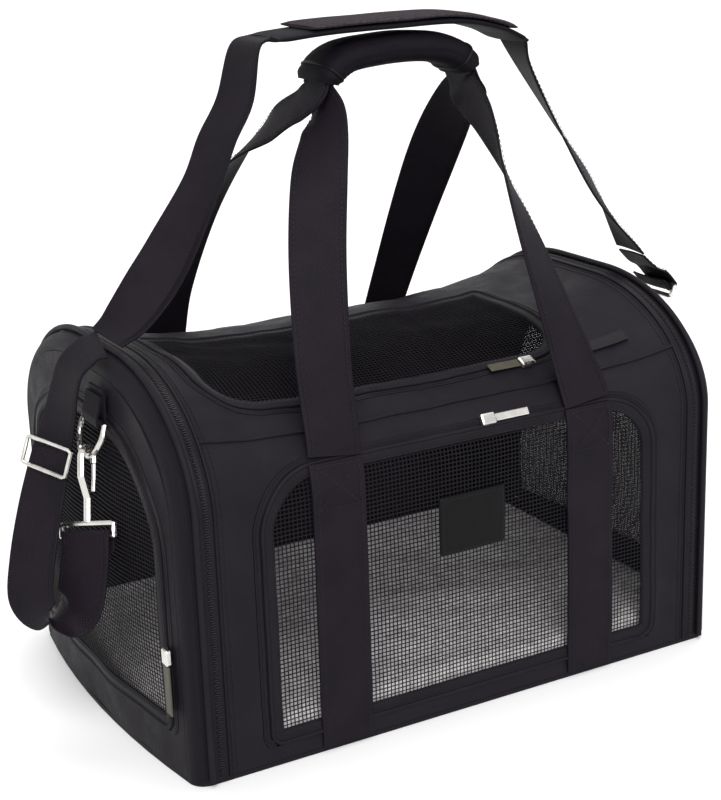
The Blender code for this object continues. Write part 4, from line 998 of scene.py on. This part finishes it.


# ----- shoulder strap

# Two body names and two points just above the hoops where the shoulder strap would bend; pieces given this are
# left in place on no body and do not bend
STRAP_BEND = ("shell", "shoulder_strap", (0, 0, 0.269), (0, 0, 0.360))
SHOULDER_PAD = [
    (-0.0700, -0.008, 0.4520),
    (-0.0300, -0.008, 0.4545),
    (0.0200, -0.008, 0.4550),
    (0.0700, -0.008, 0.4545),
    (0.1050, -0.008, 0.4470),
    (0.1270, -0.008, 0.4370),
]
SHOULDER_LEFT = [
    ((-0.0722, -0.008, 0.4514), (0, -1, 0), 0.9),
    ((-0.0840, -0.009, 0.4450), (0.1, -1, 0), 1.0),
    ((-0.0935, -0.010, 0.4122), (0.25, -1, 0), 1.0),
    ((-0.1082, -0.010, 0.3874), (0.3, -1, 0), 1.0),
    ((-0.1220, -0.012, 0.3600), (0.35, -1, 0), 1.0),
    ((-0.1470, -0.016, 0.3230), (0.7, -0.8, 0), 1.0),
    ((-0.1640, -0.019, 0.3020), (0.8, -0.65, 0), 1.0),
    ((-0.1850, -0.022, 0.2805), (0.6, -0.75, 0), 1.0),
    ((-0.2000, -0.023, 0.2700), (0.35, -0.9, 0), 1.0),
]
SHOULDER_RIGHT = [
    ((0.1288, -0.008, 0.4352), (0, -1, 0), 0.9),
    ((0.1370, -0.009, 0.4150), (-0.3, -1, 0), 1.0),
    ((0.1650, -0.012, 0.3680), (-0.5, -0.9, 0), 1.0),
    ((0.1960, -0.016, 0.3190), (-0.6, -0.8, 0), 1.0),
    ((0.2290, -0.018, 0.2695), (-0.1, -1, 0), 1.0),
]
# The slack end hangs outside the end wall, turns under and comes back up to the snap hook's bar
LEFT_STRAP_END = [
    ((-0.2040, -0.0230, 0.2668), (0.35, -0.9, 0), 1.0),
    ((-0.2140, -0.0200, 0.2625), (0.2, -1, 0), 1.0),
    ((-0.2240, -0.0170, 0.2530), (0.1, -1, 0), 1.0),
    ((-0.2290, -0.0160, 0.2400), (0.1, -1, 0), 1.0),
    ((-0.2340, -0.0150, 0.2200), (0.2, -1, 0), 1.0),
    ((-0.2430, -0.0160, 0.1950), (0.35, -0.94, 0), 1.0),
    ((-0.2560, -0.0250, 0.1650), (0.45, -0.88, 0), 1.0),
    ((-0.2680, -0.0360, 0.1350), (0.5, -0.86, 0.05), 1.0),
    ((-0.2740, -0.0450, 0.1130), (0.52, -0.85, 0.10), 1.0),
    ((-0.2680, -0.0510, 0.0995), (0.54, -0.83, 0.14), 1.0),
    ((-0.2560, -0.0560, 0.1005), (0.55, -0.82, 0.17), 1.0),
    ((-0.2475, -0.0610, 0.1110), (0.55, -0.82, 0.17), 1.0),
]
RIGHT_STRAP_END = [
    ((0.2298, -0.0182, 0.2667), (-0.1, -1, 0), 1.0),
    ((0.2395, -0.0200, 0.2570), (-0.05, -1, 0), 1.0),
]
D_RING_WIRE, D_RING_DROP = 0.0019, 0.024
HOOK_WIRE, HOOK_LENGTH, EYE_RISE = 0.0026, 0.0415, 0.0085
RING_BAR_X, RING_BAR_Z = HALF_LENGTH + 0.0075, HEIGHT - 0.040


def make_shoulder_strap():
    """The padded cover, its woven top, and the webbing on each side down to the hoops."""
    path = curve_through(SHOULDER_PAD, 120)
    side, face = frames_along(path, np.tile([0.0, -1.0, 0.0], (120, 1)))
    along = np.linspace(0, 1, 120)
    end = np.minimum(along, 1 - along)
    width = 0.052 * (0.90 + 0.10 * smooth(end / 0.06))
    base = oval(1.0, 1.0, 48, 3.2)
    lower = base[None] * np.stack([width, 0.0050 * (0.7 + 0.3 * smooth(end / 0.04))], -1)[:, None]
    lower = lower - [0, 0.0018]
    piece = sweep("pad_underside", path, side, face, lower, M["soft"], "shoulder_strap", "pad_cloth")
    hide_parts("shoulder_pad")
    pick = slice(16, 106)
    inner = along[pick]
    near = np.minimum(inner - inner[0], inner[-1] - inner)
    crown = 0.0042 * (0.55 + 0.45 * smooth(near / 0.03)) * (1 + 0.05 * waves(inner * 0.2, inner * 0, 0.03, 4))
    upper = base[None] * np.stack([0.050 * np.ones_like(inner), crown], -1)[:, None] + [0, 0.0024]
    sweep("pad_top", path[pick], side[pick], face[pick], upper, M["padding"], "shoulder_strap", "pad_cloth")

    piece = ribbon("strap_left", SHOULDER_LEFT, 160, STRAP_BEND)
    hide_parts("shoulder_strap_left")
    piece = ribbon("strap_right", SHOULDER_RIGHT, 110, STRAP_BEND)
    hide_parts("shoulder_strap_right")


def unit(direction):
    """The direction at length one."""
    direction = np.array(direction, float)
    return direction / np.linalg.norm(direction)


def hook_bar(sign, ring_y, drop, shift, away, wide):
    """A snap hook's far bar, the hook's direction away from the ring, its outer side and the bar's direction.

    The ring hangs from its bar along drop, the hook's wire curls round the ring, and the bar is one hook
    length and one eye further on."""
    ring = np.array([sign * RING_BAR_X, ring_y, RING_BAR_Z]) + unit(drop) * D_RING_DROP + np.array(shift)
    away = unit(away)
    wide = unit(np.array(wide, float) - away * np.dot(wide, away))
    outer = np.cross(wide, away)
    outer *= np.sign(outer[0]) * sign
    middle = ring + away * (0.0014 - GAP)
    return middle + away * (HOOK_LENGTH + D_RING_WIRE / 2 + EYE_RISE), away, outer, wide


def over_bar(bar, towards, outer, wide):
    """Rows that come down one side of a bar, go round it and double back."""
    reach = D_RING_WIRE + 2 * GAP + WEBBING_THICK / 2
    turn = np.radians(np.linspace(0, 180, 7))[:, None]
    bend = bar + outer * reach * np.cos(turn) - towards * reach * np.sin(turn)
    near, far = bar + towards * 0.012 + outer * reach, bar + towards * 0.010 - outer * reach
    return [(tuple(point), tuple(wide), 1.0) for point in (near, *bend, far)]


def make_strap_ends():
    """The fixed ends of the shoulder strap, looped through the snap hooks."""
    left = hook_bar(-1, -0.032, (-0.40, 0, -1), (0, -0.006, 0.0007), (-0.22, -0.36, -1), (0.5, -0.86, 0))
    piece = ribbon("strap_end_left", LEFT_STRAP_END + over_bar(*left), 320, "shell")
    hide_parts("left_strap_end")
    bar, _, _, wide = hook_bar(1, -0.020, (0.40, 0, -1), (0, 0, 0), (0.55, 0, 0.82), (0, -1, 0))
    # The taut strap comes to this bar from its last row, straight down the slope
    towards = unit((np.array(RIGHT_STRAP_END[-1][0]) - bar) * [1, 0, 1])
    outer = np.array([towards[2], 0, -towards[0]])
    piece = ribbon("strap_end_right", RIGHT_STRAP_END + over_bar(bar, towards, outer, wide), 90, "shell")
    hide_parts("right_strap_end")


def finish_nodes():
    """CAD nodes whose shape is kept take their finish here."""
    finishes = {
        "base_panel": ("cloth", "cloth"),
        "base_board": ("board", "board"),
        "zip_end_tab": ("binding", "cloth"),
        "tri_glide": ("nickel", "nickel"),
    }
    for side in ("left", "right"):
        for part, finish in (
            ("d_ring", "nickel"), ("snap_hook", "nickel"), ("hook_gate", "nickel"),
            ("door_slider", "nickel"), ("collapse_slider", "nickel"), ("door_pull", "rubber"),
        ):
            finishes[f"{side}_{part}"] = (finish, finish)
        finishes[f"{side}_ring_tab"] = ("webbing", "webbing")
    finishes["front_door_slider"] = finishes["front_door_pull"] = finishes["lid_slider"] = ("nickel", "nickel")
    finishes["lid_pull"] = ("rubber", "rubber")
    for node, (paint, slot) in finishes.items():
        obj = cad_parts[node]
        obj.data.materials.clear()
        obj.data.materials.append(M[paint])


# ----- camera and light


def make_camera():
    """The camera, placed by its turn round the bag, its height, its roll and its distance from a point."""
    azimuth, elevation, roll = np.radians([-28.8616, 17.4754, -2.0311])
    target, distance = np.array([0.0003, 0.0, 0.1827]), 1.2465
    back = np.array(
        [math.sin(azimuth) * math.cos(elevation), -math.cos(azimuth) * math.cos(elevation), math.sin(elevation)]
    )
    right = np.array([math.cos(azimuth), math.sin(azimuth), 0.0])
    up = np.cross(back, right)
    across = math.cos(roll) * right + math.sin(roll) * up
    above = -math.sin(roll) * right + math.cos(roll) * up
    data = bpy.data.cameras.new("camera")
    data.lens = 76.95
    data.sensor_width = 36
    data.shift_x = -0.0034
    data.shift_y = 0.0044
    camera = bpy.data.objects.new("camera", data)
    bpy.context.scene.collection.objects.link(camera)
    turn = Matrix(np.column_stack([across, above, back]).tolist()).to_4x4()
    camera.matrix_world = Matrix.Translation(Vector((target + distance * back).tolist())) @ turn
    bpy.context.scene.camera = camera


def sun(name, towards, strength, spread):
    """A soft light from far away, shining from the given direction, spread in degrees."""
    data = bpy.data.lights.new(name, "SUN")
    data.energy = strength
    data.angle = math.radians(spread)
    light = bpy.data.objects.new(name, data)
    light.rotation_euler = Vector(towards).to_track_quat("Z", "Y").to_euler()
    bpy.context.scene.collection.objects.link(light)


def make_studio():
    """A pale floor, a white surround and soft lamps."""
    scene = bpy.context.scene
    scene.view_settings.view_transform = "Standard"
    world = bpy.data.worlds.new("surround")
    world.use_nodes = True
    scene.world = world
    nodes, links = world.node_tree.nodes, world.node_tree.links
    background = nodes["Background"]
    background.inputs["Color"].default_value = (1, 1, 1, 1)
    path = nodes.new("ShaderNodeLightPath")
    strength = nodes.new("ShaderNodeMapRange")
    strength.inputs["To Min"].default_value = 0.30
    strength.inputs["To Max"].default_value = 1.0
    seen = path.outputs["Is Camera Ray"]
    for other in ("Is Glossy Ray", "Is Transmission Ray"):
        either = nodes.new("ShaderNodeMath")
        either.operation = "MAXIMUM"
        links.new(seen, either.inputs[0])
        links.new(path.outputs[other], either.inputs[1])
        seen = either.outputs[0]
    links.new(seen, strength.inputs["Value"])
    links.new(strength.outputs["Result"], background.inputs["Strength"])

    floor_mesh = bpy.data.meshes.new("floor")
    reach, level = 40, -0.0004
    corners = [(-reach, -reach, level), (reach, -reach, level), (reach, reach, level), (-reach, reach, level)]
    floor_mesh.from_pydata(corners, [], [(0, 1, 2, 3)])
    floor = bpy.data.objects.new("floor", floor_mesh)
    scene.collection.objects.link(floor)
    paint = Paint("floor_white", (0.95, 0.95, 0.95), 0.95, specular=0.0)
    paint.vary(paint.noise(0.5), 0.99, 1.0)
    floor_mesh.materials.append(paint.material)
    sun("key", (-0.9, -1.5, 1.7), 2.4, 35)
    sun("front", (-0.2, -1.6, 0.7), 1.3, 40)
    sun("top", (0.3, 0.4, 2.0), 1.3, 45)


make_walls()
make_zips()
make_doors()
make_label()
make_ends()
make_base()
make_sewn_straps()
make_handles()
make_shoulder_strap()
make_strap_ends()
finish_nodes()
make_camera()
make_studio()
